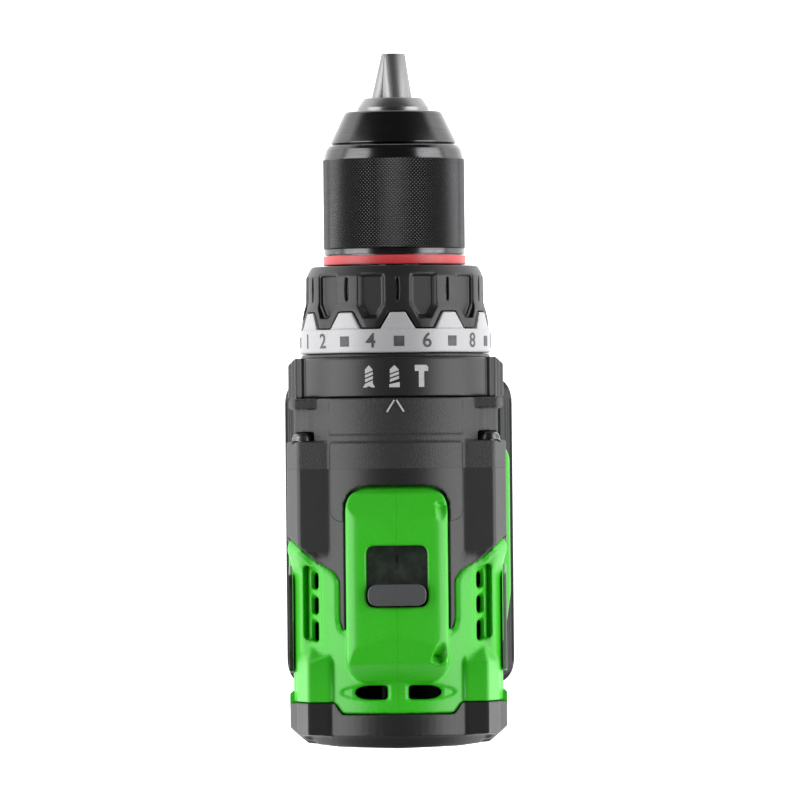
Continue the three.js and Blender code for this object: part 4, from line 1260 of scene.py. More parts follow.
@dataclass
class Collars:
    """The torque collar with its silver scale, and the mode ring behind it."""

    shop: Workshop
    teeth: int = 10
    pitch: float = 720 / 21
    first: float = 2.0
    root_half: float = 5.4
    tip_half: float = 2.3

    def build(self) -> None:
        """Makes the collars and their marks."""
        self.grip()
        self.scale()
        self.marks()
        self.mode_ring()
        self.icons()

    def azimuths(self) -> list[float]:
        """Where the scale ring's teeth stand, in degrees right of the top.

        Returns:
            One azimuth for each tooth.
        """
        return [self.first + self.pitch * (i - self.teeth / 2 + 1) for i in range(self.teeth)]

    def tooth(self, grow: float, low: float, high: float) -> list[bpy.types.Object]:
        """The radial blocks that the silver teeth fill.

        Args:
            grow: A clearance around them.
            low: The lowest radius.
            high: The highest radius.

        Returns:
            One block for each tooth.
        """
        band = span("torque_scale_ring", 1)[0] + 7.3
        tip = span("torque_scale_ring", 1)[1]
        corners = [
            (-self.root_half - grow, band - 1.5), (self.root_half + grow, band - 1.5),
            (self.root_half + grow, band + grow * 0.6), (self.tip_half + grow * 0.8, tip + grow),
            (-self.tip_half - grow * 0.8, tip + grow), (-self.root_half - grow, band + grow * 0.6),
        ]
        return [spun(prism(corners, Axis.Z, low, high), a) for a in self.azimuths()]

    def grip(self) -> None:
        """The rubber collar: lobes over the teeth, panels between them and a slit in each lobe."""
        rear, front = span("torque_grip", 1)
        profile = [
            (20.7, rear), (29.0, rear), (28.9, rear + 2), (28.3, rear + 5.6), (27.65, rear + 8.2),
            (27.6, front - 3.4), (25.7, front), (11.2, front), (11.2, front - 2), (20.7, front - 2),
        ]
        collar = revolve(filleted(profile, [0.1, 0.3, 0, 1.5, 3, 0.9, 0.7, 0.2, 0.1, 0.1], 4), 192)
        panel_low = rear + 3.1
        tools = []
        for azimuth in self.azimuths()[:-1]:
            for depth, half, low, high in ((1.0, 4.15, panel_low, front - 2.5),
                (1.75, 3.55, panel_low + 0.7, front - 3.2)):
                corners = [
                    (-half + 2.1, low), (half - 2.1, low), (half, low + 3.6), (half, high), (-half, high),
                    (-half, low + 3.6),
                ]
                tools.append(spun(prism(corners, Axis.Z, 27.75 - depth, 34), azimuth + self.pitch / 2))
        for azimuth in self.azimuths():
            slit = [(0, 28.6), (0.42, 31.4), (0.55, 34), (0.42, 37), (0, 38.9), (-0.42, 37), (-0.55, 34),
                (-0.42, 31.4)]
            tools.append(spun(prism(slit, Axis.Z, 26.7, 34), azimuth))
        collar = cut(collar, *self.tooth(0.35, 24, 34), *self.tooth(1.5, 28.1, 34), *tools)
        collar = shaded(softened(collar, 0.3, 2), 40)
        self.shop.deliver(collar, "torque_grip_shape", "torque_collar", "soft_grip", "torque_grip")

    def scale(self) -> None:
        """The silver ring, whose teeth reach into the grip."""
        rear, front = span("torque_scale_ring", 1)
        outer = span("torque_scale_ring", 0)[1] - 0.03
        band = rear + 7.3
        crown = revolve([(25, band - 1.2), (outer - 0.15, band - 1.2), (outer - 0.9, front), (25, front)],
            192)
        crown = overlap(crown, join(*self.tooth(0, 22, 34)))
        corners = [(25, rear), (outer - 0.3, rear), (outer, rear + 0.4), (outer, band), (25, band)]
        ring = join(revolve(filleted(corners, [0, 0.3, 0.2, 0.1, 0], 3), 192), crown)
        ring = shaded(softened(ring, 0.3, 1), 40)
        self.shop.deliver(ring, "scale_ring", "torque_collar", "scale_silver", "torque_scale_ring")

    def marks(self) -> None:
        """Generic numerals and squares, one every half tooth pitch."""
        rear = span("torque_scale_ring", 1)[0]
        outer = span("torque_scale_ring", 0)[1] - 0.03
        middle = rear + 3.55
        made = []
        square = [(-1.6, -1.6), (1.6, -1.6), (1.6, 1.6), (-1.6, 1.6)]
        for step in range(21):
            azimuth = self.first - 65.9 - 2 + self.pitch / 2 * step - 0.1
            label = step + 1
            if step > 1 and label % 2 == 1:
                made.append(mark(square, outer, azimuth, middle))
                continue
            digits = numeral(str(label), 4.6)
            made.append(wrapped(moved(digits, Matrix.Translation((0, middle, 0))), outer, azimuth))
        self.shop.deliver(merged("marks", made), "scale_marks", "torque_collar", "mark_dark",
            slot="scale_silver")

    def mode_ring(self) -> None:
        """The mode ring: a smooth band with a ribbed, stepped grip on each side."""
        rear, front = span("mode_ring", 1)
        side = span("mode_ring", 0)[1] - 0.05
        radius = span("mode_ring", 2)[1] - 0.05
        corners = [(24.4, rear), (radius, rear), (radius, front), (24.4, front)]
        band = revolve(filleted(corners, [0.2, 0.7, 1.1, 0.4], 4), 192)
        steps = [
            (20, -12.2), (29.4, -12.2), (29.9, -10.6), (31.2, -10.2), (31.3, -8.2), (30.7, -7.8),
            (32.2, -7.4),
            (32.3, -5.2), (31.6, -4.8), (side - 0.1, -4.4), (side, -1.9), (side - 0.9, -1.4),
            (side - 0.9, 1.4),
            (side, 1.9), (side - 0.1, 4.4), (31.6, 4.8), (32.3, 5.2), (32.2, 7.4), (30.7, 7.8), (31.3, 8.2),
            (31.2, 10.2), (29.9, 10.6), (29.4, 12.2), (20, 12.2),
        ]
        plan = [(20, rear), (side - 0.6, rear), (side + 1, rear + 0.8), (side + 1, front - 3),
            (side - 2.2, front), (20, front)]
        grip = overlap(prism(steps, Axis.Y, rear, front), prism(plan, Axis.Z, -20, 20))
        flats = box(27.7, 40, rear - 1, front + 1, 12.1, 20), box(27.7, 40, rear - 1, front + 1, -20, -12.1)
        band = cut(band, *both_sides(flats[0]), *both_sides(flats[1]))
        lip = revolve([(24.6, front - 1), (29.1, front - 1), (29.1, front + 1.15), (24.6, front + 1.15)], 128)
        ring = join(band, *both_sides(grip), lip)
        ring = cut(ring, bar(24.4, Axis.Y, rear - 1, front + 2, sides=128))
        ring = shaded(softened(ring, 0.34, 2), 40)
        self.shop.deliver(ring, "mode_ring_shape", "mode_ring", "black_plastic", "mode_ring")

    def icons(self) -> None:
        """Generic signs for driving screws, drilling and hammer drilling."""
        rear = span("mode_ring", 1)[0]
        radius = span("mode_ring", 2)[1] - 0.05
        low = rear + 2.9
        pieces = []
        twist_low = [(-1.25, 1.6), (1.25, 2.6), (1.25, 3.5), (-1.25, 2.5)]
        twist_high = [(-1.25, 2.95), (1.25, 3.95), (1.25, 4.8), (-1.25, 3.8)]
        tip = [(-1.25, 4.2), (1.25, 5.2), (1.1, 5.6), (0, 6.8), (-1.25, 5.5)]
        head = [(-1.95, 0), (-0.75, 0), (-0.35, 0.35), (0.35, 0.35), (0.75, 0), (1.95, 0), (1.2, 1.2),
            (1.2, 2.15), (-1.2, 1.15)]
        for outline in (head, twist_low, twist_high, tip):
            pieces.append(mark(outline, radius, -15.1, low))
        shank = [(-1.45, 0), (1.45, 0), (1.45, 1.6), (-1.45, 0.9)]
        for outline in (shank, twist_low, twist_high, tip):
            pieces.append(mark([(x * 1.12, y) for x, y in outline], radius, -0.4, low))
        hammer = [(-0.85, 0), (0.85, 0), (0.85, 4.9), (2.15, 4.9), (2.15, 6.2), (1.5, 6.8), (-2.1, 6.8),
            (-2.1, 4.9), (-0.85, 4.9)]
        pieces.append(mark(hammer, radius, 15.2, low))
        self.shop.deliver(merged("icons", pieces), "mode_icons", "mode_ring", "mark_grey",
            slot="scale_silver")


# ------------------------------------------------------------------ gearbox


def head_half(rear: bool = False) -> list[Point]:
    """Half of the head's section, from bottom to top, with its corners rounded.

    Args:
        rear: True for the motor's part, which is narrower and rounder.

    Returns:
        The corners in x and z.
    """
    if rear:
        arcs = arc((0, 0), 31.0, math.degrees(math.acos(26.6 / 31)), 90, 14)
        low = [(0, -33), (20, -33), (29.6, -22.5), (32.4, -12), (32.4, 7.5), (29.6, 14.6)]
        radii = [0, 8, 6, 4, 3, 3]
    else:
        arcs = arc((0, 0), 31.0, math.degrees(math.acos(20.4 / 31)), 90, 10)
        low = [(0, -33), (20, -33), (30.4, -22), (33.9, -12), (33.9, 12), (30.4, 21)]
        radii = [0, 8, 6, 3, 3, 1.3]
    whole = filleted(low + [arcs[0]], [*radii, 0], 5)
    return [p for p in whole if p[0] > 1e-6] + arcs[1:-1] + [(0, 31.0)]


@dataclass
class Gearbox:
    """The black gearbox housing with its flange, ears and pan-head screws."""

    shop: Workshop

    def build(self) -> None:
        """Makes the housing and the screws."""
        self.housing()
        self.screws()

    def housing(self) -> None:
        """The housing: barrel, raised tongue, flange, ears with slots behind them."""
        front = 0.5
        flange_front, flange_rear = -12.8, -21.3
        barrel = bar(31.2, Axis.Y, flange_front - 1, front, sides=160)
        nose = bar(24, Axis.Y, front - 1, 13.3, sides=128)
        snout = bar(16.7, Axis.Y, 12, span("gearbox_housing", 1)[1], sides=128)
        tube = bar(22.5, Axis.Y, span("gearbox_housing", 1)[0], flange_rear + 1, sides=96)
        section = [(0.0, -32.9)] + [p for p in head_half()]
        flange = prism(mirrored(section), Axis.Y, flange_rear - 1, flange_front)
        ramp = [
            (0, flange_rear - 1), (32, flange_rear - 1), (32, -13.4), (30.9, -13.0), (30.9, -11.1),
            (31.75, -10.5),
            (31.75, front - 0.1), (0, front - 0.1),
        ]
        tongue = overlap(revolve(ramp, 192), box(-20.5, 20.5, flange_rear - 1, front, 10, 40))
        parts = [nose, snout, tube, flange, tongue]
        for x in (1, -1):
            for z in (1, -1):
                ear = prism(
                    filleted([(24, 9.5), (32.4, 9.5), (33, 11), (33, 15.6), (31.6, 18.4), (24, 20)],
                    [0, 0.8, 1, 1.5, 1.5, 0]),
                    Axis.Y, front - 3.1, front - 0.1,
                )
                web = prism([(22, 6), (29.7, 6), (29.7, 14.6), (27.2, 17.4), (24, 19.3), (22, 20.2)], Axis.Y,
                    flange_front - 1, front - 1)
                rib = prism([(28.2, 6), (31.5, 6), (31.5, 12.6), (30.8, 13.8), (28.2, 15.2)], Axis.Y,
                    flange_front - 1, front - 1)
                for part in (ear, web, rib):
                    parts.append(moved(part, Matrix.Diagonal((x, 1, z, 1))))
        shape = join(barrel, *parts)
        for x in (1, -1):
            for z in (1, -1):
                seat = bar(3.9, Axis.Y, flange_front - 0.7, flange_front + 2.9, (28.2 * x, 15.8 * z), 48)
                slot = box(27.6, 28.3, flange_front + 2, front - 3.4, 6, 30)
                shape = cut(shape, seat, moved(slot, Matrix.Diagonal((x, 1, z, 1))))
        bore = revolve([
            (0, -60), (20.4, -60), (20.4, span("ring_gear", 1)[1] + 0.3),
            (17.5, span("ring_gear", 1)[1] + 0.3),
            (17.5, -2), (9, -2), (9, span("spindle_front_bearing", 1)[0] - 0.3),
            (14.3, span("spindle_front_bearing", 1)[0] - 0.3), (14.3, 60), (0, 60),
        ], 96)
        shape = softened(shape, 0.42, 2)
        face = cut(box(-60, 60, flange_rear - 3, flange_rear, -60, 60), bar(22.5, Axis.Y, -40, 0, sides=96))
        shape = cut(shape, face)
        # The chevron's raised ridges are real; their light grey is a painted highlight that stands in for the
        # light the ridges catch.
        chevron = []
        for side in (1, -1):
            stroke = [(0.55, -0.1), (2.85, -3.75), (2.35, -4.0), (0.1, -0.35)]
            flat = prism([(x * side, y) for x, y in stroke], Axis.Z, -0.3, 0.22)
            chevron.append(wrapped(outward(flat), 31.8, 0))
        shape = cut(shape, bore)
        self.shop.deliver(merged("chevron", chevron), "mode_pointer", "drill_body", "mark_grey",
            slot="gearbox_black")
        self.shop.deliver(shaded(shape, 40), "gearbox_shape", "drill_body", "gearbox_black",
            "gearbox_housing")

    def screws(self) -> None:
        """Four pan-head screws with a star recess."""
        for index in range(1, 5):
            node = f"gearbox_screw_{index}"
            x0, x1 = span(node, 0)
            z0, z1 = span(node, 2)
            y0, y1 = span(node, 1)
            profile = [(0, y0), (1.3, y0), (1.6, y0 + 0.6), (1.6, y1 - 2.4), (3.4, y1 - 2.4), (3.4, y1 - 1.6),
                (3.0, y1 - 0.7),
                       (2.1, y1 - 0.15), (0.9, y1), (0, y1)]
            screw = revolve(profile, 48)
            star = [(1.5 * r * math.cos(a), 1.5 * r * math.sin(a)) for r, a in
                    ((1 if i % 2 else 0.72, math.radians(30 * i)) for i in range(12))]
            screw = cut(screw, prism(star, Axis.Y, y1 - 1.3, y1 + 1))
            screw = moved(screw, Matrix.Translation(((x0 + x1) / 2, 0, (z0 + z1) / 2)))
            self.shop.deliver(shaded(screw, 32), f"flange_screw_{index}", "drill_body", "screw_steel", node)


# ------------------------------------------------------------------ outer case


@dataclass
class Case:
    """The green clamshell with its hump, handle and foot, the soft overmould and the rear cap."""

    shop: Workshop
    front: float = -20.6
    joint_face: float = -21.34
    waist: tuple[float, float] = (-43.0, -52.5)
    skin: float = 1.6
    wall: float = 2.6
    stations: tuple[tuple[float, float, float, float], ...] = (
        (-26, -28, -82, 18.5), (-36, -30.2, -78, 17.6), (-50, -31.2, -75.6, 16.8), (-64, -31.6, -74.4, 16.0),
        (-78, -33.0, -74.3, 15.6), (-92, -34.8, -75.2, 15.6), (-104, -36.4, -77.6, 16.2),
        (-113, -36.6, -80.6, 17.6),
        (-120, -34.0, -83.2, 21.0),
    )

    def build(self) -> None:
        """Makes the case, the overmould, the cap and everything set into them."""
        outer = self.form(0)
        core = self.form(self.skin + 0.25)
        openings = self.openings()
        hollow = self.hollow()
        self.shell(copy_of(outer), core, copy_of(openings), copy_of(hollow))
        self.overmould(outer, openings)
        self.cap()
        bpy.data.objects.remove(hollow)

    def head(self, t: float) -> bpy.types.Object:
        """The head of the case, moved inward by t.

        Args:
            t: The distance inward.

        Returns:
            The solid.
        """
        rear = -97.0
        front_half = prism(inset(mirrored(head_half()), t), Axis.Y, self.waist[0] - 4, self.front)
        sections = []
        a = inset(mirrored(head_half()), t)
        b = inset(mirrored(head_half(True)), t)
        count = 180
        for y, mix in ((self.waist[0] - 3.9, 0.0), (self.waist[0] - 5.6, 0.4), (self.waist[1], 1.0),
            (rear, 1.0)):
            pa, pb = resampled(a, count), resampled(b, count)
            sections.append([(p[0] * (1 - mix) + q[0] * mix, y, p[1] * (1 - mix) + q[1] * mix) for p,
                q in zip(pa, pb)])
        return join(front_half, loft(sections))

    def corner_block(self, t: float) -> list[bpy.types.Object]:
        """The flat-topped corner blocks at the back of the motor, which run on into the cap.

        Args:
            t: The distance inward.

        Returns:
            The block on each side.
        """
        full = inset([(17, 14), (31.9, 6), (31.2, 13.5), (27.9, 23.9), (20.9, 24.6), (18.4, 22)], t)
        slim = inset([(17, 14), (30.9, 6), (30.2, 9.5), (26.4, 15.4), (20.3, 21.6), (18.4, 20)], t)
        rows = [(slim, -75.2), (full, -81.2), (full, -97.0)]
        return both_sides(loft([[(x, y, z) for x, z in ring] for ring, y in rows]))

    def hump(self, t: float) -> bpy.types.Object:
        """The hump over the speed selector.

        Args:
            t: The distance inward.

        Returns:
            The solid.
        """
        half = 15.7 - t
        side = [(-87.5, 18), (-27.2, 18), (-27.2, 31.8), (-29.4, 35.6), (-38.2, 42), (-72.4, 42),
            (-81.2, 38.4), (-86.9, 31.6), (-87.5, 28)]
        side = filleted(side, [0, 0, 1.5, 3.2, 4.5, 5, 3.2, 2.5, 0], 6)
        plan = filleted([(half, -87.5 + t), (half, -27.2 - t), (-half, -27.2 - t), (-half, -87.5 + t)],
            [9, 7.5, 7.5, 9], 10)
        upright = filleted([(-half - 0.6, 18), (half + 0.6, 18), (half, 40 - t), (0, 42 - t),
            (-half, 40 - t)], [0, 0, 5, 40, 5], 8)
        body = prism(inset(side, t), Axis.X, -17, 17)
        return overlap(body, prism(plan, Axis.Z, 10, 50), prism(upright, Axis.Y, -90, -20))

    def chin(self, t: float) -> bpy.types.Object:
        """The chin under the flange, which carries the work light.

        Args:
            t: The distance inward.

        Returns:
            The solid.
        """
        side = [(-38, -37), (-30, -40.2), (-14.4, -38.3), (-14, -33.4), (-25.6, -33.4), (-25.6, -27),
            (-38, -27)]
        half = 8 - t
        plan = filleted([(half, -40), (half, -14.1), (-half, -14.1), (-half, -40)], [0, 3, 3, 0], 5)
        return overlap(prism(inset(filleted(side, 1.2), t), Axis.X, -half, half), prism(plan, Axis.Z, -60, 0))

    def handle(self, t: float) -> bpy.types.Object:
        """The handle, a rounded section that follows its stations.

        Args:
            t: The distance inward.

        Returns:
            The solid.
        """
        rings = []
        zs = [s[0] for s in self.stations]
        for k in range(49):
            z = zs[0] + (zs[-1] - zs[0]) * k / 48
            front, back, half = (smooth_table([(-s[0], s[c]) for s in self.stations], -z) for c in (1, 2, 3))
            ring = []
            for i in range(72):
                angle = 2 * math.pi * i / 72
                c, s = math.cos(angle), math.sin(angle)
                size = (abs(c) ** 2.6 + abs(s) ** 2.6) ** (-1 / 2.6)
                ring.append((c * size * (half - t), (front + back) / 2 + s * size * ((front - back) / 2 - t),
                    z))
            rings.append(ring)
        return loft(rings)

    def foot(self, t: float) -> bpy.types.Object:
        """The foot that the battery slides onto, with a chamfered top.

        Args:
            t: The distance inward.

        Returns:
            The solid.
        """
        bottom, top = 50.3 - AXIS_HEIGHT, 70.0 - AXIS_HEIGHT
        plan = filleted(mirrored([(27, -84), (33.4, -76), (35.6, -61), (35.6, -17), (30, -7)]),
            [7, 6, 10, 7, 6, 6, 7, 10, 6, 7], 6)
        across = filleted(
            mirrored([(35.6, bottom), (35.6, top - 8.5), (27.5, top - 2), (19, top)]),
            [0, 3, 5, 8, 8, 5, 3, 0], 5
        )
        along = filleted([(-85, bottom), (-6, bottom), (-6, top - 8), (-13, top - 1.5), (-30, top),
            (-80, top), (-85, top - 5)],
                         [0, 0, 4, 5, 8, 4, 4], 5)
        body = prism(inset(plan, t), Axis.Z, bottom if t == 0 else 62.4 - AXIS_HEIGHT, top - t)
        return overlap(body, prism(inset(across, t), Axis.Y, -90, 0), prism(inset(along, t), Axis.X, -50, 50))

    def form(self, t: float) -> bpy.types.Object:
        """The whole case, moved inward by t.

        Args:
            t: The distance inward.

        Returns:
            The solid.
        """
        return join(self.head(t), self.hump(t), self.chin(t), self.handle(t), self.foot(t),
            *self.corner_block(t))

    def plain_form(self, t: float) -> bpy.types.Object:
        """The case without its corner blocks, moved inward by t, for hollowing it.

        Args:
            t: The distance inward.

        Returns:
            The solid.
        """
        return join(self.head(t), self.hump(t), self.handle(t), self.foot(t))

    def region(self, grow: float) -> bpy.types.Object:
        """The space that the soft overmould covers, grown outward by a clearance.

        Args:
            grow: The clearance.

        Returns:
            The solid.
        """
        half = [
            (0, -71.6), (15.6, -71.6), (16.9, -70.4), (17.6, -67.6), (17.6, -55.6), (19.4, -52.9),
            (25.1, -49.8),
            (30.5, -45.0), (33.3, -42.2), (38, -38.8), (38, -20),
        ]
        plan = filleted(mirrored(half), [0, 1, 1.5, 2, 4, 3, 9, 9, 5, 0, 0, 0, 0, 5, 9, 9, 3, 4, 2, 1.5, 1],
            4)
        side = [
            (-40, -112), (-30, -105), (-20, -60), (-20, 12), (-43, 12), (-46, -6), (-58, -22), (-80, -33),
            (-88, -44),
            (-88, -98), (-76, -112),
        ]
        side = filleted(side, [6, 4, 0, 0, 1, 10, 12, 8, 6, 8, 8], 5)
        above = prism(inset(plan, -grow), Axis.Z, 11, 34)
        plug = 15.95 - grow
        hump = prism(
            filleted([(plug, -100), (plug, -26.9 - grow), (-plug, -26.9 - grow), (-plug, -100)],
            [0, 7.5, 7.5, 0], 10),
            Axis.Z, 0, 50,
        )
        return join(cut(above, hump), prism(inset(outward_order(side), -grow), Axis.X, -50, 50))

    def cap_region(self, grow: float) -> bpy.types.Object:
        """The space behind the line where the rear cap begins.

        Args:
            grow: The clearance.

        Returns:
            The solid.
        """
        plan = mirrored([(40, -120), (40, -93.3 + grow), (19.8, -93.3 + grow), (17.2, -96.9 + grow)])
        return prism(filleted(plan, [0, 0, 1, 1, 1, 1, 0, 0], 4), Axis.Z, -60, 60)

    def openings(self) -> bpy.types.Object:
        """Everything cut through the wall from outside.

        Returns:
            The solid.
        """
        window = prism(filleted([(9.4, -63.9), (9.4, -45.0), (-9.4, -45.0), (-9.4, -63.9)], 2.4, 6), Axis.Z,
            29.8, 50)
        trigger = prism(filleted([(9.0, -41.6), (9.0, -68.4), (-9.0, -68.4), (-9.0, -41.6)], 2.0, 4), Axis.Y,
            -46, -5)
        lever = box(-40, 40, -46.4, -37.6, -40.4, -35.6)
        lens = box(-4.5, 4.5, -17, -10, -37.6, -34.4)
        cutters = [trigger, lever, lens]
        dish = [(24.3, 11.0), (25.3, 13.2), (28.1, 15.6), (28.1, 40), (24.3, 40)]
        for front_edge, rear_edge in ((-51.4, -56.9), (-58.9, -64.6), (-66.5, -73.0)):
            plan = [(28.1, front_edge), (28.1, rear_edge), (24.3, rear_edge - 2.0), (24.3, front_edge - 2.0)]
            pocket = prism(filleted(plan, 0.5, 3), Axis.Z, 2, 40)
            cutters += both_sides(overlap(pocket, prism(dish, Axis.Y, rear_edge - 4, front_edge + 2)))
        recess = prism(filleted([(28.8, -50.6), (28.8, -73.6), (23.4, -75.4), (23.4, -52.6)], 0.8, 3), Axis.Z,
            2, 40)
        recess = overlap(recess, cut(box(15, 40, -80, -45, 2, 40), bar(30.45, Axis.Y, -90, -40, sides=128)))
        cutters += both_sides(recess)
        hole = [(3.2, -92.4), (8.6, -92.4)] + arc((8.6, -90.2), 2.2, -90, 90, 8)[1:-1] + [(8.6, -88.0),
            (3.2, -88.0)]
        stretched = [(x if x <= 8.6 else 8.6 + (x - 8.6) * 2.2, y) for x, y in hole]
        cutters += both_sides(prism(stretched, Axis.Z, 16, 40))
        scoop = [(2.4, -92.7), (9, -92.7)] + arc((9, -90.2), 2.5, -90, 90, 8)[1:-1] + [(9, -87.7),
            (2.4, -87.7)]
        stretched = [(x if x <= 9 else 9 + (x - 9) * 3.6, y) for x, y in scoop]
        dish = overlap(prism(stretched, Axis.Z, 16, 40),
            cut(box(0, 25, -95, -85, 10, 40), bar(30.2, Axis.Y, -96, -84, sides=128)))
        cutters += both_sides(dish)
        for y, z, seat in ((-67, -80, 11), (-53, -104, 11), (-90, -27.6, 20)):
            cutters.append(bar(3.3, Axis.X, seat, 45, (y, z), 32))
        for x, z in ((28.2, 15.8), (-28.2, 15.8), (28.2, -15.8), (-28.2, -15.8)):
            cutters.append(bar(1.9, Axis.Y, -34, -20, (x, z), 24))
        for x, y, turn, slope in ((14.4, -33.9, 8, 42), (13.3, -78.4, -30, -36)):
            scoop = bar(2.1, Axis.Y, -3.3, 3.3, sides=48)
            scoop = moved(scoop, Matrix.Rotation(math.radians(turn), 4,
                "Z") @ Matrix.Rotation(math.radians(-slope), 4, "X"))
            cutters.append(moved(scoop, Matrix.Translation((x, y, 38.9))))
        return join(window, *cutters)

    def hollow(self) -> bpy.types.Object:
        """The inside of the case, with the bore for the motor and the foot's slot.

        Returns:
            The solid.
        """
        inside = self.plain_form(self.wall)
        bores = [
            bar(25.2, Axis.Y, -110, -30, sides=96),
            bar(22.9, Axis.Y, -60, -15, sides=96),
            box(-12.6, 12.6, -78.5, -31.8, 25, 33.4),
        ]
        low = 49.0 - AXIS_HEIGHT
        neck = box(-17.4, 17.4, -81.6, -5, low, 56.1 - AXIS_HEIGHT)
        head = box(-21.4, 21.4, -81.6, -5, 55.1 - AXIS_HEIGHT, 59.9 - AXIS_HEIGHT)
        notches = [box(x - 2.4, x + 2.4, -14.4, -9.6, low, low + 5) for x in (-27, 27)]
        return join(inside, *bores, neck, head, *notches)

    def shell(self, outer: bpy.types.Object, core: bpy.types.Object, openings: bpy.types.Object,
        hollow: bpy.types.Object) -> None:
        """The two green halves, with a fine seam between them and a step down to the overmould.

        Args:
            outer: The whole case.
            core: The part under the overmould.
            openings: The openings through the wall.
            hollow: The space inside.
        """
        soft = self.region(0.28)
        edge = self.region(1.7)
        ledge = self.form(0.55)
        edge = cut(edge, ledge)
        solid = join(cut(outer, soft, edge), core)
        solid = cut(solid, openings, self.cap_region(0.12))
        solid = cut(softened(solid, 0.55, 3), hollow, self.face_cut())
        right, left = halves(solid)
        for name, half, side in (("right", right, 1), ("left", left, -1)):
            tab = prism(filleted([(31, -95.3), (33.6, -95.3), (33.6, -90.6), (32.6, -89.8), (31, -89.8)],
                [0, 0.6, 0.6, 0.6, 0], 3),
                        Axis.Z, -7, 7)
            half = join(half, tab if side > 0 else moved(tab, Matrix.Scale(-1, 4, (1, 0, 0))))
            self.shop.deliver(shaded(half, 42), f"shell_{name}", "drill_body", "green_plastic",
                f"housing_{name}")

    def face_cut(self) -> bpy.types.Object:
        """What lies in front of the plane where the case meets the gearbox flange.

        Returns:
            The solid.
        """
        return box(-60, 60, self.joint_face, 10, -33.25, 60)

    def overmould(self, outer: bpy.types.Object, openings: bpy.types.Object) -> None:
        """The soft skin over the shoulders, the sides and the handle.

        Args:
            outer: The whole case.
            openings: The openings through the wall.
        """
        skin = cut(outer, self.form(self.skin), openings, self.hollow())
        skin = overlap(skin, self.region(0))
        trim = self.panel_lines()
        skin = cut(skin, trim)
        skin = cut(softened(skin, 0.45, 2), self.face_cut())
        right, left = halves(skin)
        for name, half in (("right", right), ("left", left)):
            self.shop.deliver(shaded(half, 42), f"soft_{name}", "drill_body", "soft_grip", f"grip_{name}")
        rise = overlap(bar(32.0, Axis.Y, -37.6, self.front, sides=192), self.tongue_block())
        rise = cut(rise, bar(30.9, Axis.Y, -60, 0, sides=192), self.hump_plug())
        rise = cut(softened(rise, 0.34, 2), self.face_cut())
        rise = shaded(rise, 42)
        self.shop.deliver(rise, "tongue_panel", "drill_body", "black_plastic", slot="soft_grip")

    def tongue_block(self) -> bpy.types.Object:
        """The plan of the raised panel behind the gearbox, with rounded rear corners.

        Returns:
            The solid.
        """
        plan = [(20.5, -37.6), (20.5, -15), (-20.5, -15), (-20.5, -37.6)]
        return prism(filleted(plan, [4, 0, 0, 4], 8), Axis.Z, 20, 40)

    def hump_plug(self) -> bpy.types.Object:
        """The space the hump and its gap fill.

        Returns:
            The solid.
        """
        plan = [(16.3, -100), (16.3, -26.5), (-16.3, -26.5), (-16.3, -100)]
        return prism(filleted(plan, [0, 7.8, 7.8, 0], 10), Axis.Z, 0, 50)

    def panel_lines(self) -> bpy.types.Object:
        """Ribs cut across the back of the handle for grip.

        Returns:
            The solid.
        """
        first = box(-12, 12, -90, -73.4, -50.4, -49.6)
        lines = [box(-12 + 0.25 * i, 12 - 0.25 * i, -90, -73.0, z - 0.45, z + 0.45) for i,
            z in enumerate(range(-98, -52, 5))]
        return join(first, *[overlap(line,
            cut(box(-30, 30, -95, -60, -112, -40), self.handle(0.6))) for line in lines])

    def cap(self) -> None:
        """The black rear cap with chamfered corners, screw wells and small recesses."""
        rear = span("rear_cap", 1)[0]
        section = inset(mirrored(head_half(True)), -0.9)
        body = prism(section, Axis.Y, rear, -92)
        outer = inset(section, -6)
        lip = loft([
            [(x, -92, z) for x, z in outer], [(x, rear + 4.3, z) for x, z in outer],
            [(x, rear + 3.9, z) for x, z in inset(outer, 6.3)], [(x, rear, z) for x, z in inset(outer, 8.8)],
        ])
        blocks = both_sides(
            prism([(17, 14), (31.9, 6), (31.2, 13.5), (27.9, 23.9), (20.9, 24.6), (18.4, 22)], Axis.Y, rear,
            -92)
        )
        wings = both_sides(prism([(20, -14), (33.3, -13), (33.6, 7), (31, 12), (20, 14)], Axis.Y, rear, -92))
        body = join(body, *blocks, *wings)
        plan = filleted(
            mirrored([(18, rear + 0.55), (28.0, rear + 1.6), (33.65, rear + 6.4), (33.65, -92)]) , 0, 2
        )
        plan = plan[:4] + [(-33.65, -92), (-33.65, rear + 6.4), (-28.0, rear + 1.6), (-18, rear + 0.55),
            (0, rear)]
        side = filleted(
            [(rear, -24), (rear + 6, -34), (-90, -36), (-90, 34), (rear, 34)], [3, 3, 0, 0, 0], 5
        )
        body = overlap(body, prism(plan, Axis.Z, -60, 60), prism(outward_order(side), Axis.X, -60, 60), lip,
            self.cap_region(-0.05))
        cutters = [bar(3.4, Axis.Y, rear - 2, rear + 6, (x, 0), 48) for x in (-28.3, 28.3)]
        recess = [(24.2, rear - 1), (30.5, rear - 1), (30.9, rear + 4.6), (28.2, rear + 2.6),
            (25.4, rear + 2.2)]
        cutters += both_sides(prism(recess, Axis.Z, 12, 30))
        for i in range(5):
            cutters.append(box(-14, 14, rear - 1, rear + 1.3, -15.6 + 6 * i, -12.8 + 6 * i))
        body = cut(body, *cutters)
        body = softened(body, 0.45, 3)
        inner = overlap(
            prism(inset(mirrored(head_half(True)), 2.4), Axis.Y, rear + 3.6, -80),
            prism(mirrored([(24, rear + 3.6), (31, rear + 9), (31, -80)]), Axis.Z, -60, 60),
        )
        seat = cut(bar(11, Axis.Y, rear, rear + 10.6, sides=64),
            bar(8.3, Axis.Y, rear + 5, rear + 12, sides=64))
        body = cut(body, cut(inner, seat))
        self.shop.deliver(shaded(body, 42), "cap", "drill_body", "black_plastic", "rear_cap")


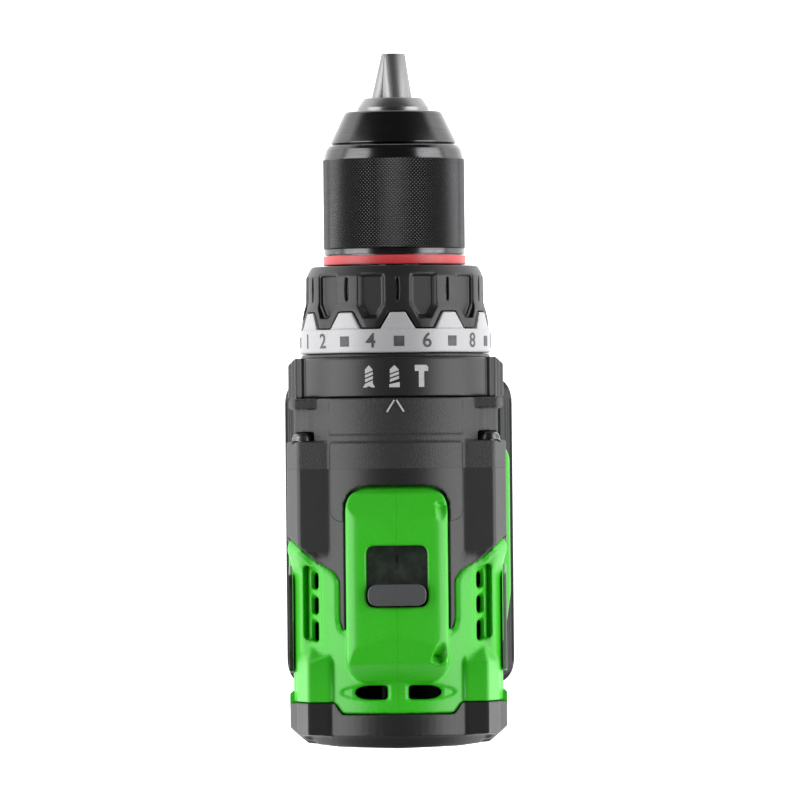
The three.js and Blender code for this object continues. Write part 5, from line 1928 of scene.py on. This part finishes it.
def halves(solid: bpy.types.Object) -> tuple[bpy.types.Object, bpy.types.Object]:
    """Splits a solid on the middle plane, with a fine gap for the seam.

    The blocks that cut it are divided into a grid, which keeps the faces of the seam small
    enough to fill without crossing the hollow inside.

    Args:
        solid: The solid, which is used up.

    Returns:
        The right half and the left half.
    """
    made = []
    for side, body in ((1, copy_of(solid)), (-1, solid)):
        x0, x1 = sorted((side * SEAM, side * 60))
        block = box(x0, x1, -150, 20, -190, 60)
        mesh = bmesh.new()
        mesh.from_mesh(block.data)
        bmesh.ops.subdivide_edges(mesh, edges=mesh.edges[:], cuts=30, use_grid_fill=True)
        mesh.to_mesh(block.data)
        mesh.free()
        made.append(overlap(body, block))
    return made[0], made[1]


def outward_order(corners: Outline) -> list[Point]:
    """Puts an outline's corners in counter-clockwise order.

    Args:
        corners: The outline.

    Returns:
        The corners, in order.
    """
    count = len(corners)
    area = sum(
        corners[i][0] * corners[(i + 1) % count][1] - corners[(i + 1) % count][0] * corners[i][1]
        for i in range(count)
    )
    return list(corners) if area > 0 else list(reversed(corners))


def resampled(corners: Outline, count: int) -> list[Point]:
    """Spreads a number of points evenly along a closed outline, starting at its first corner.

    Args:
        corners: The outline.
        count: The number of points.

    Returns:
        The points.
    """
    loop = list(corners) + [corners[0]]
    lengths = [0.0]
    for a, b in zip(loop, loop[1:]):
        lengths.append(lengths[-1] + math.dist(a, b))
    made = []
    row = 0
    for i in range(count):
        at = lengths[-1] * i / count
        while lengths[row + 1] < at:
            row += 1
        t = (at - lengths[row]) / max(lengths[row + 1] - lengths[row], 1e-9)
        a, b = loop[row], loop[row + 1]
        made.append((a[0] + (b[0] - a[0]) * t, a[1] + (b[1] - a[1]) * t))
    return made


def smooth_table(table: Sequence[Point], at: float) -> float:
    """Reads a table with a smooth curve through its rows.

    Args:
        table: Rows of position and value, with rising positions.
        at: The position.

    Returns:
        The value there.
    """
    row = 0
    while row < len(table) - 2 and at > table[row + 1][0]:
        row += 1
    (x1, y1), (x2, y2) = table[row], table[row + 1]
    y0 = table[row - 1][1] if row else y1
    y3 = table[row + 2][1] if row + 2 < len(table) else y2
    t = min(1.0, max(0.0, (at - x1) / (x2 - x1)))
    return 0.5 * (
        2 * y1
        + (y2 - y0) * t
        + (2 * y0 - 5 * y1 + 4 * y2 - y3) * t * t
        + (3 * y1 - y0 - 3 * y2 + y3) * t**3
    )


# ------------------------------------------------------------------ controls


@dataclass
class Controls:
    """What the operator's fingers move, and the small fittings of the case."""

    shop: Workshop

    def build(self) -> None:
        """Makes the controls and fittings."""
        self.slider()
        self.trigger()
        self.lever()
        self.badges()
        self.lens()
        self.case_screws()

    def slider(self) -> None:
        """The speed selector's plate with an embossed numeral, and its pill-shaped knob."""
        x0, x1 = span("speed_slider", 0)
        y0, y1 = span("speed_slider", 1)
        z0, z1 = span("speed_slider", 2)
        top = 33.0
        sheet = shaded(bevelled(box(x0, x1, y0, y1, z0, top), 0.3), 40)
        sheet.name = "slider_plate"
        middle = -63.8 + 0.3 + 3.3
        pill = filleted([(9.0, middle - 3.3), (9.0, middle + 3.3), (-9.0, middle + 3.3),
            (-9.0, middle - 3.3)], 3.2, 10)
        knob = prism(pill, Axis.Z, top - 0.5, z1 - 0.05)
        knob = shaded(softened(knob, 0.22, 7), 50)
        digit = moved(numeral("1", 5.0),
            Matrix.Translation((0.0, -50.6, top)) @ Matrix.Diagonal((1, 1, 3.2, 1)))
        # The plate takes knob_grey, lighter than its own near-black: painted light that offsets the shade of its
        # deep window.
        self.shop.deliver(sheet, "slider_plate", "speed_selector", "knob_grey", "speed_slider",
            slot="black_plastic")
        self.shop.deliver(knob, "slider_knob", "speed_selector", "knob_grey", slot="black_plastic")
        self.shop.deliver(digit, "slider_numeral", "speed_selector", "badge_black", slot="black_plastic")

    def trigger(self) -> None:
        """The trigger: a hollowed finger pad, softly rounded."""
        x0, x1 = span("trigger", 0)
        y0, y1 = span("trigger", 1)
        z0, z1 = span("trigger", 2)
        side = [(y0, z0), (y1 - 7, z0), (y1 - 3.6, z0 + 3), (y1 - 1.9, z0 + 8.5), (y1 - 2.2, z0 + 14),
            (y1 - 0.8, z1 - 6),
                (y1 - 0.05, z1 - 2.4), (y1 - 1.6, z1 - 0.1), (y1 - 4.5, z1), (y0, z1)]
        body = prism(filleted(side, [0, 3, 3, 4, 5, 4, 1, 1, 1, 0], 5), Axis.X, x0, x1)
        plan = [(x1, y0), (x1, y1 - 4), (4.5, y1), (-4.5, y1), (x0, y1 - 4), (x0, y0)]
        body = overlap(body, prism(filleted(plan, [0, 3, 3, 3, 3, 0], 6), Axis.Z, z0 - 1, z1 + 1))
        body = shaded(softened(body, 0.36, 4), 50)
        self.shop.deliver(body, "trigger_shape", "trigger", "black_plastic", "trigger")

    def lever(self) -> None:
        """The direction lever that crosses the handle, with ribbed ends."""
        x0, x1 = span("direction_lever", 0)
        y0, y1 = span("direction_lever", 1)
        z0, z1 = span("direction_lever", 2)
        body = prism(filleted([(y0, z0), (y1, z0), (y1, z1), (y0, z1)], 1.2, 4), Axis.X, x0, x1)
        lines = [box(x0 - 1, x1 + 1, y0 + 1.7 + 1.5 * i, y0 + 2.2 + 1.5 * i, z0 - 1,
            z1 + 1) for i in range(4)]
        ends = overlap(join(*lines), join(box(x0 - 1, x0 + 0.5, y0, y1, z0, z1),
            box(x1 - 0.5, x1 + 1, y0, y1, z0, z1)))
        body = shaded(softened(cut(body, ends), 0.2, 2), 45)
        self.shop.deliver(body, "direction_lever_shape", "direction_lever", "badge_grey", "direction_lever",
            slot="black_plastic")

    def badges(self) -> None:
        """The blank badge plates on both sides of the motor, each with a raised rim."""
        for side, finish in (("left", "badge_black"), ("right", "badge_grey")):
            node = f"badge_{side}"
            x0, x1 = span(node, 0)
            y0, y1 = span(node, 1)
            z0, z1 = span(node, 2)
            corners = [(y0, z0), (y1 - 3, z0), (y1, 0), (y1 - 3, z1), (y0, z1)]
            plate = prism(filleted(corners, [2, 2, 2, 2, 2], 5), Axis.X, x0, x1)
            panel = prism(inset(filleted(corners, [2, 2, 2, 2, 2], 5), 1.3), Axis.X,
                x1 - 0.3 if side == "right" else x0 - 1,
                          x1 + 1 if side == "right" else x0 + 0.3)
            plate = shaded(bevelled(cut(plate, panel), 0.12, 2, 30), 40)
            self.shop.deliver(plate, f"plate_{side}", "drill_body", finish, node)

    def lens(self) -> None:
        """The clear lens of the work light."""
        x0, x1 = span("led_lens", 0)
        y0, y1 = span("led_lens", 1)
        z0, z1 = span("led_lens", 2)
        body = shaded(bevelled(box(x0, x1, y0, y1, z0, z1), 0.5, 4), 40)
        self.shop.deliver(body, "light_lens", "drill_body", "clear_lens", "led_lens")

    def case_screws(self) -> None:
        """The screws of the handle and the cap, with star recesses."""
        star = [(1.5 * r * math.cos(a), 1.5 * r * math.sin(a)) for r, a in
                ((1 if i % 2 else 0.72, math.radians(30 * i)) for i in range(12))]
        for node in ("housing_screw_1", "housing_screw_2", "housing_screw_3", "rear_cap_screw_1",
            "rear_cap_screw_2"):
            low = [span(node, k)[0] for k in range(3)]
            high = [span(node, k)[1] for k in range(3)]
            across = node.startswith("housing")
            middle = [(a + b) / 2 for a, b in zip(low, high)]
            length = high[0] - low[0] if across else high[1] - low[1]
            profile = [(0, 0), (1.1, 0), (1.4, 0.6), (1.4, length - 2.3), (2.8, length - 2.3),
                (2.8, length - 0.6),
                       (2.2, length - 0.1), (0, length)]
            screw = cut(revolve(profile, 40), prism(star, Axis.Y, length - 1.3, length + 1))
            if across:
                turn = Matrix.Translation((low[0], middle[1], middle[2])) @ Matrix.Rotation(math.radians(-90),
                    4, "Z")
            else:
                turn = Matrix.Translation((middle[0], high[1],
                    middle[2])) @ Matrix.Rotation(math.radians(180), 4, "Z")
            self.shop.deliver(shaded(moved(screw, turn), 32), f"{node}_shape", "drill_body", "screw_steel",
                node)


# ------------------------------------------------------------------ battery


@dataclass
class Battery:
    """The slide-on battery: tray, lid with its rail, latch and gauge."""

    shop: Workshop

    def plan(self, t: float) -> list[Point]:
        """The battery's outline from above, moved inward by t.

        Args:
            t: The distance inward.

        Returns:
            The outline.
        """
        x1 = span("battery_lower_case", 0)[1] - 0.05
        y0, y1 = span("battery_lower_case", 1)
        corners = [(x1, y0 + 0.05), (x1, y1 - 0.05), (-x1, y1 - 0.05), (-x1, y0 + 0.05)]
        return inset(filleted(corners, 9, 10), t)

    def build(self) -> None:
        """Makes every piece of the battery."""
        self.tray()
        self.lid()
        self.latch()
        self.gauge()

    def tray(self) -> None:
        """The lower case, with ribs moulded into its sides and feet under it."""
        split = 27.0
        body = join(prism(self.plan(0), Axis.Z, 2.2, split), prism(self.plan(1.6), Axis.Z, 0.6, 3),
            prism(self.plan(4), Axis.Z, 0, 3))
        x1 = span("battery_lower_case", 0)[1]
        ribs = []
        for i in range(9):
            y = -81 + 10 * i
            ribs += both_sides(box(x1 - 0.9, x1 + 2, y - 3.4, y + 3.4, 7, 21))
        body = shaded(softened(cut(body, *ribs), 0.5, 3), 42)
        body = cut(body, prism(self.plan(2.4), Axis.Z, 2.4, split + 1))
        self.shop.deliver(shaded(body, 42), "tray", "battery", "black_plastic", "battery_lower_case",
            place=Place.GROUND)

    def lid(self) -> None:
        """The upper case with its T-rail, terminal slots and the latch's pocket."""
        low, top = 27.3, 50.0
        body = prism(self.plan(0), Axis.Z, low, top - 3.4)
        body = join(body, prism(self.plan(1.5), Axis.Z, low + 3, top - 1.2),
            prism(self.plan(3.2), Axis.Z, low + 3, top))
        neck = box(-17, 17, -78, -14, top - 1, 56.4)
        rail = prism(filleted([(-21, 55.5), (21, 55.5), (21, 59.5), (-21, 59.5)], [0.3, 0.3, 1, 1], 3),
            Axis.Y, -78, -14)
        pocket = box(-30.4, 30.4, -14.4, 7.4, 40.5, top + 1)
        button = box(-6.4, 6.4, 3, 10, 30.6, 36.4)
        slots = [box(x - 0.9, x + 0.9, -79, -66, 51.8, 58) for x in (-9, -3, 3, 9)]
        x1 = span("battery_upper_case", 0)[1]
        panels = both_sides(prism(filleted([(-78, 31), (-16, 31), (-10, 36), (-10, 44), (-78, 44)], 2, 4),
            Axis.X, x1 - 0.6, x1 + 2))
        windows = [box(x - 1.4, x + 1.4, 8.2, 10, 38.2, 40.0) for x in (-6.6, -2.2, 2.2, 6.6)]
        body = cut(join(body, neck, rail), pocket, button, *slots, *panels, *windows)
        body = softened(body, 0.5, 3)
        body = cut(body, prism(self.plan(2.4), Axis.Z, low - 1, 39.5))
        self.shop.deliver(shaded(body, 42), "lid", "battery", "black_plastic", "battery_upper_case",
            place=Place.GROUND)
        for x in (-6.6, -2.2, 2.2, 6.6):
            light = shaded(bevelled(box(x - 1.25, x + 1.25, 7.4, 8.7, 38.35, 39.85), 0.15), 40)
            self.shop.deliver(light, f"gauge_light_{round((x + 6.6) / 4.4) + 1}", "battery", "mark_grey",
                              place=Place.GROUND, slot="black_plastic")

    def latch(self) -> None:
        """The release latch, with a ribbed thumb pad."""
        top = 50.0
        sheet = prism(filleted([(30, -14), (30, 7), (-30, 7), (-30, -14)], [0.5, 4, 4, 0.5], 5), Axis.Z,
            top - 5.6, top - 0.3)
        pad = prism(filleted([(13, -4), (13, 6), (-13, 6), (-13, -4)], 2, 4), Axis.Z, top - 1, top + 2.4)
        hooks = [box(x - 2, x + 2, -14, -10, top - 1, top + 3.4) for x in (-27, 27)]
        lines = [box(-10, 10, -2.6 + 2.1 * i, -1.8 + 2.1 * i, top + 1.7, top + 4) for i in range(4)]
        body = shaded(softened(cut(join(sheet, pad, *hooks), *lines), 0.34, 2), 42)
        self.shop.deliver(body, "latch_shape", "battery_latch", "latch_grey", "battery_latch",
            place=Place.GROUND)

    def gauge(self) -> None:
        """The button that lights the charge gauge."""
        low = [span("gauge_button", k, Place.GROUND)[0] for k in range(3)]
        high = [span("gauge_button", k, Place.GROUND)[1] for k in range(3)]
        body = box(low[0], high[0], low[1], high[1] - 0.05, low[2], high[2])
        body = shaded(softened(body, 0.22, 5), 45)
        self.shop.deliver(body, "gauge_button_shape", "gauge_button", "latch_grey", "gauge_button",
            place=Place.GROUND)


# ------------------------------------------------------------------ studio


class Side(Enum):
    """Which side of the drill a light stands on."""

    LEFT = -1
    RIGHT = 1


@dataclass
class Studio:
    """A pale floor, two large soft lights beside the drill and the camera above it."""

    distance: float = 3.5
    field_width: float = 0.2482
    lean: float = -0.5
    side_lean: float = 0.3
    roll: float = -0.57

    def build(self) -> None:
        """Makes the floor, lights, world and camera."""
        self.floor()
        for side in Side:
            self.softbox(side)
        self.world()
        self.camera()

    def floor(self) -> None:
        """A plain pale floor."""
        ground = mesh_object("floor", [(-4, -4, 0), (4, -4, 0), (4, 4, 0), (-4, 4, 0)], [(0, 1, 2, 3)])
        material = bpy.data.materials.new("pale_floor")
        material.use_nodes = True
        shader = material.node_tree.nodes["Principled BSDF"]
        shader.inputs["Base Color"].default_value = (0.9, 0.9, 0.9, 1)
        shader.inputs["Roughness"].default_value = 0.8
        shader.inputs["Specular IOR Level"].default_value = 0.1
        shader.inputs["Emission Color"].default_value = (1, 1, 1, 1)
        shader.inputs["Emission Strength"].default_value = 0.9
        ground.data.materials.append(material)
        ground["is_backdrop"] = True

    def lamp(self, name: str, size: tuple[float, float], power: float, at: Vector, target: Vector) -> None:
        """Adds an area light.

        Args:
            name: Its name.
            size: Its width and height in metres.
            power: Its power in watts.
            at: Where it stands.
            target: What it faces.
        """
        data = bpy.data.lights.new(name, "AREA")
        data.shape = "RECTANGLE"
        data.size, data.size_y = size
        data.energy = power
        made = bpy.data.objects.new(name, data)
        made.location = at
        made.rotation_mode = "QUATERNION"
        made.rotation_quaternion = (target - at).to_track_quat("-Z", "Y")
        bpy.context.scene.collection.objects.link(made)

    def softbox(self, side: Side) -> None:
        """One of the two lights beside the drill.

        Args:
            side: The side it stands on.
        """
        at = Vector((side.value * 1.0, 0, 0.62))
        self.lamp(f"softbox_{side.name.lower()}", (1.7, 0.95), 19, at, Vector((0, 0, 0.17)))

    def world(self) -> None:
        """A dim, even surround."""
        world = bpy.data.worlds.new("surround")
        world.use_nodes = True
        background = world.node_tree.nodes["Background"]
        background.inputs["Color"].default_value = (1, 1, 1, 1)
        background.inputs["Strength"].default_value = 0.07
        bpy.context.scene.world = world
        bpy.context.scene.view_settings.view_transform = "Standard"

    def camera(self) -> None:
        """A long lens that looks almost straight down, with the jaws at the top of the view."""
        target = Vector((0.00127, 0, AXIS_HEIGHT * MM))
        lean, across = math.radians(self.lean), math.radians(self.side_lean)
        back = Vector((math.sin(across), math.sin(lean), 1)).normalized()
        data = bpy.data.cameras.new("camera")
        data.sensor_width = 36
        data.lens = 36 * self.distance / self.field_width
        data.clip_start, data.clip_end = 0.1, 20
        data.dof.use_dof = False
        made = bpy.data.objects.new("camera", data)
        made.location = target + back * self.distance
        right = Vector((1, 0, 0)) - back * back.x
        right.normalize()
        up = back.cross(right)
        turn = math.radians(self.roll)
        x_axis = right * math.cos(turn) + up * math.sin(turn)
        y_axis = up * math.cos(turn) - right * math.sin(turn)
        made.rotation_mode = "QUATERNION"
        made.rotation_quaternion = Matrix((x_axis, y_axis, back)).transposed().to_quaternion()
        bpy.context.scene.collection.objects.link(made)
        bpy.context.scene.camera = made


def report_size() -> None:
    """Writes the frame's box and the finished model's box, in metres."""
    rows = {"cad": [list(v) for v in CAD_BOX], "visual": [list(v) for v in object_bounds()]}
    for key, (low, high) in rows.items():
        LOG.info("%s box: %s to %s", key, [round(v, 5) for v in low], [round(v, 5) for v in high])


def main() -> None:
    """Builds the drill piece by piece and reports each."""
    logging.basicConfig(level=logging.INFO, format="%(name)s %(message)s")
    shop = Workshop(Effects())
    shop.prepare()
    shop.dress_frame()
    for part in (Chuck(shop), Collars(shop), Gearbox(shop), Case(shop), Controls(shop), Battery(shop),
        Studio()):
        part.build()
        LOG.info("%s done", type(part).__name__)
    report_size()


if __name__ == "__main__":
    main()
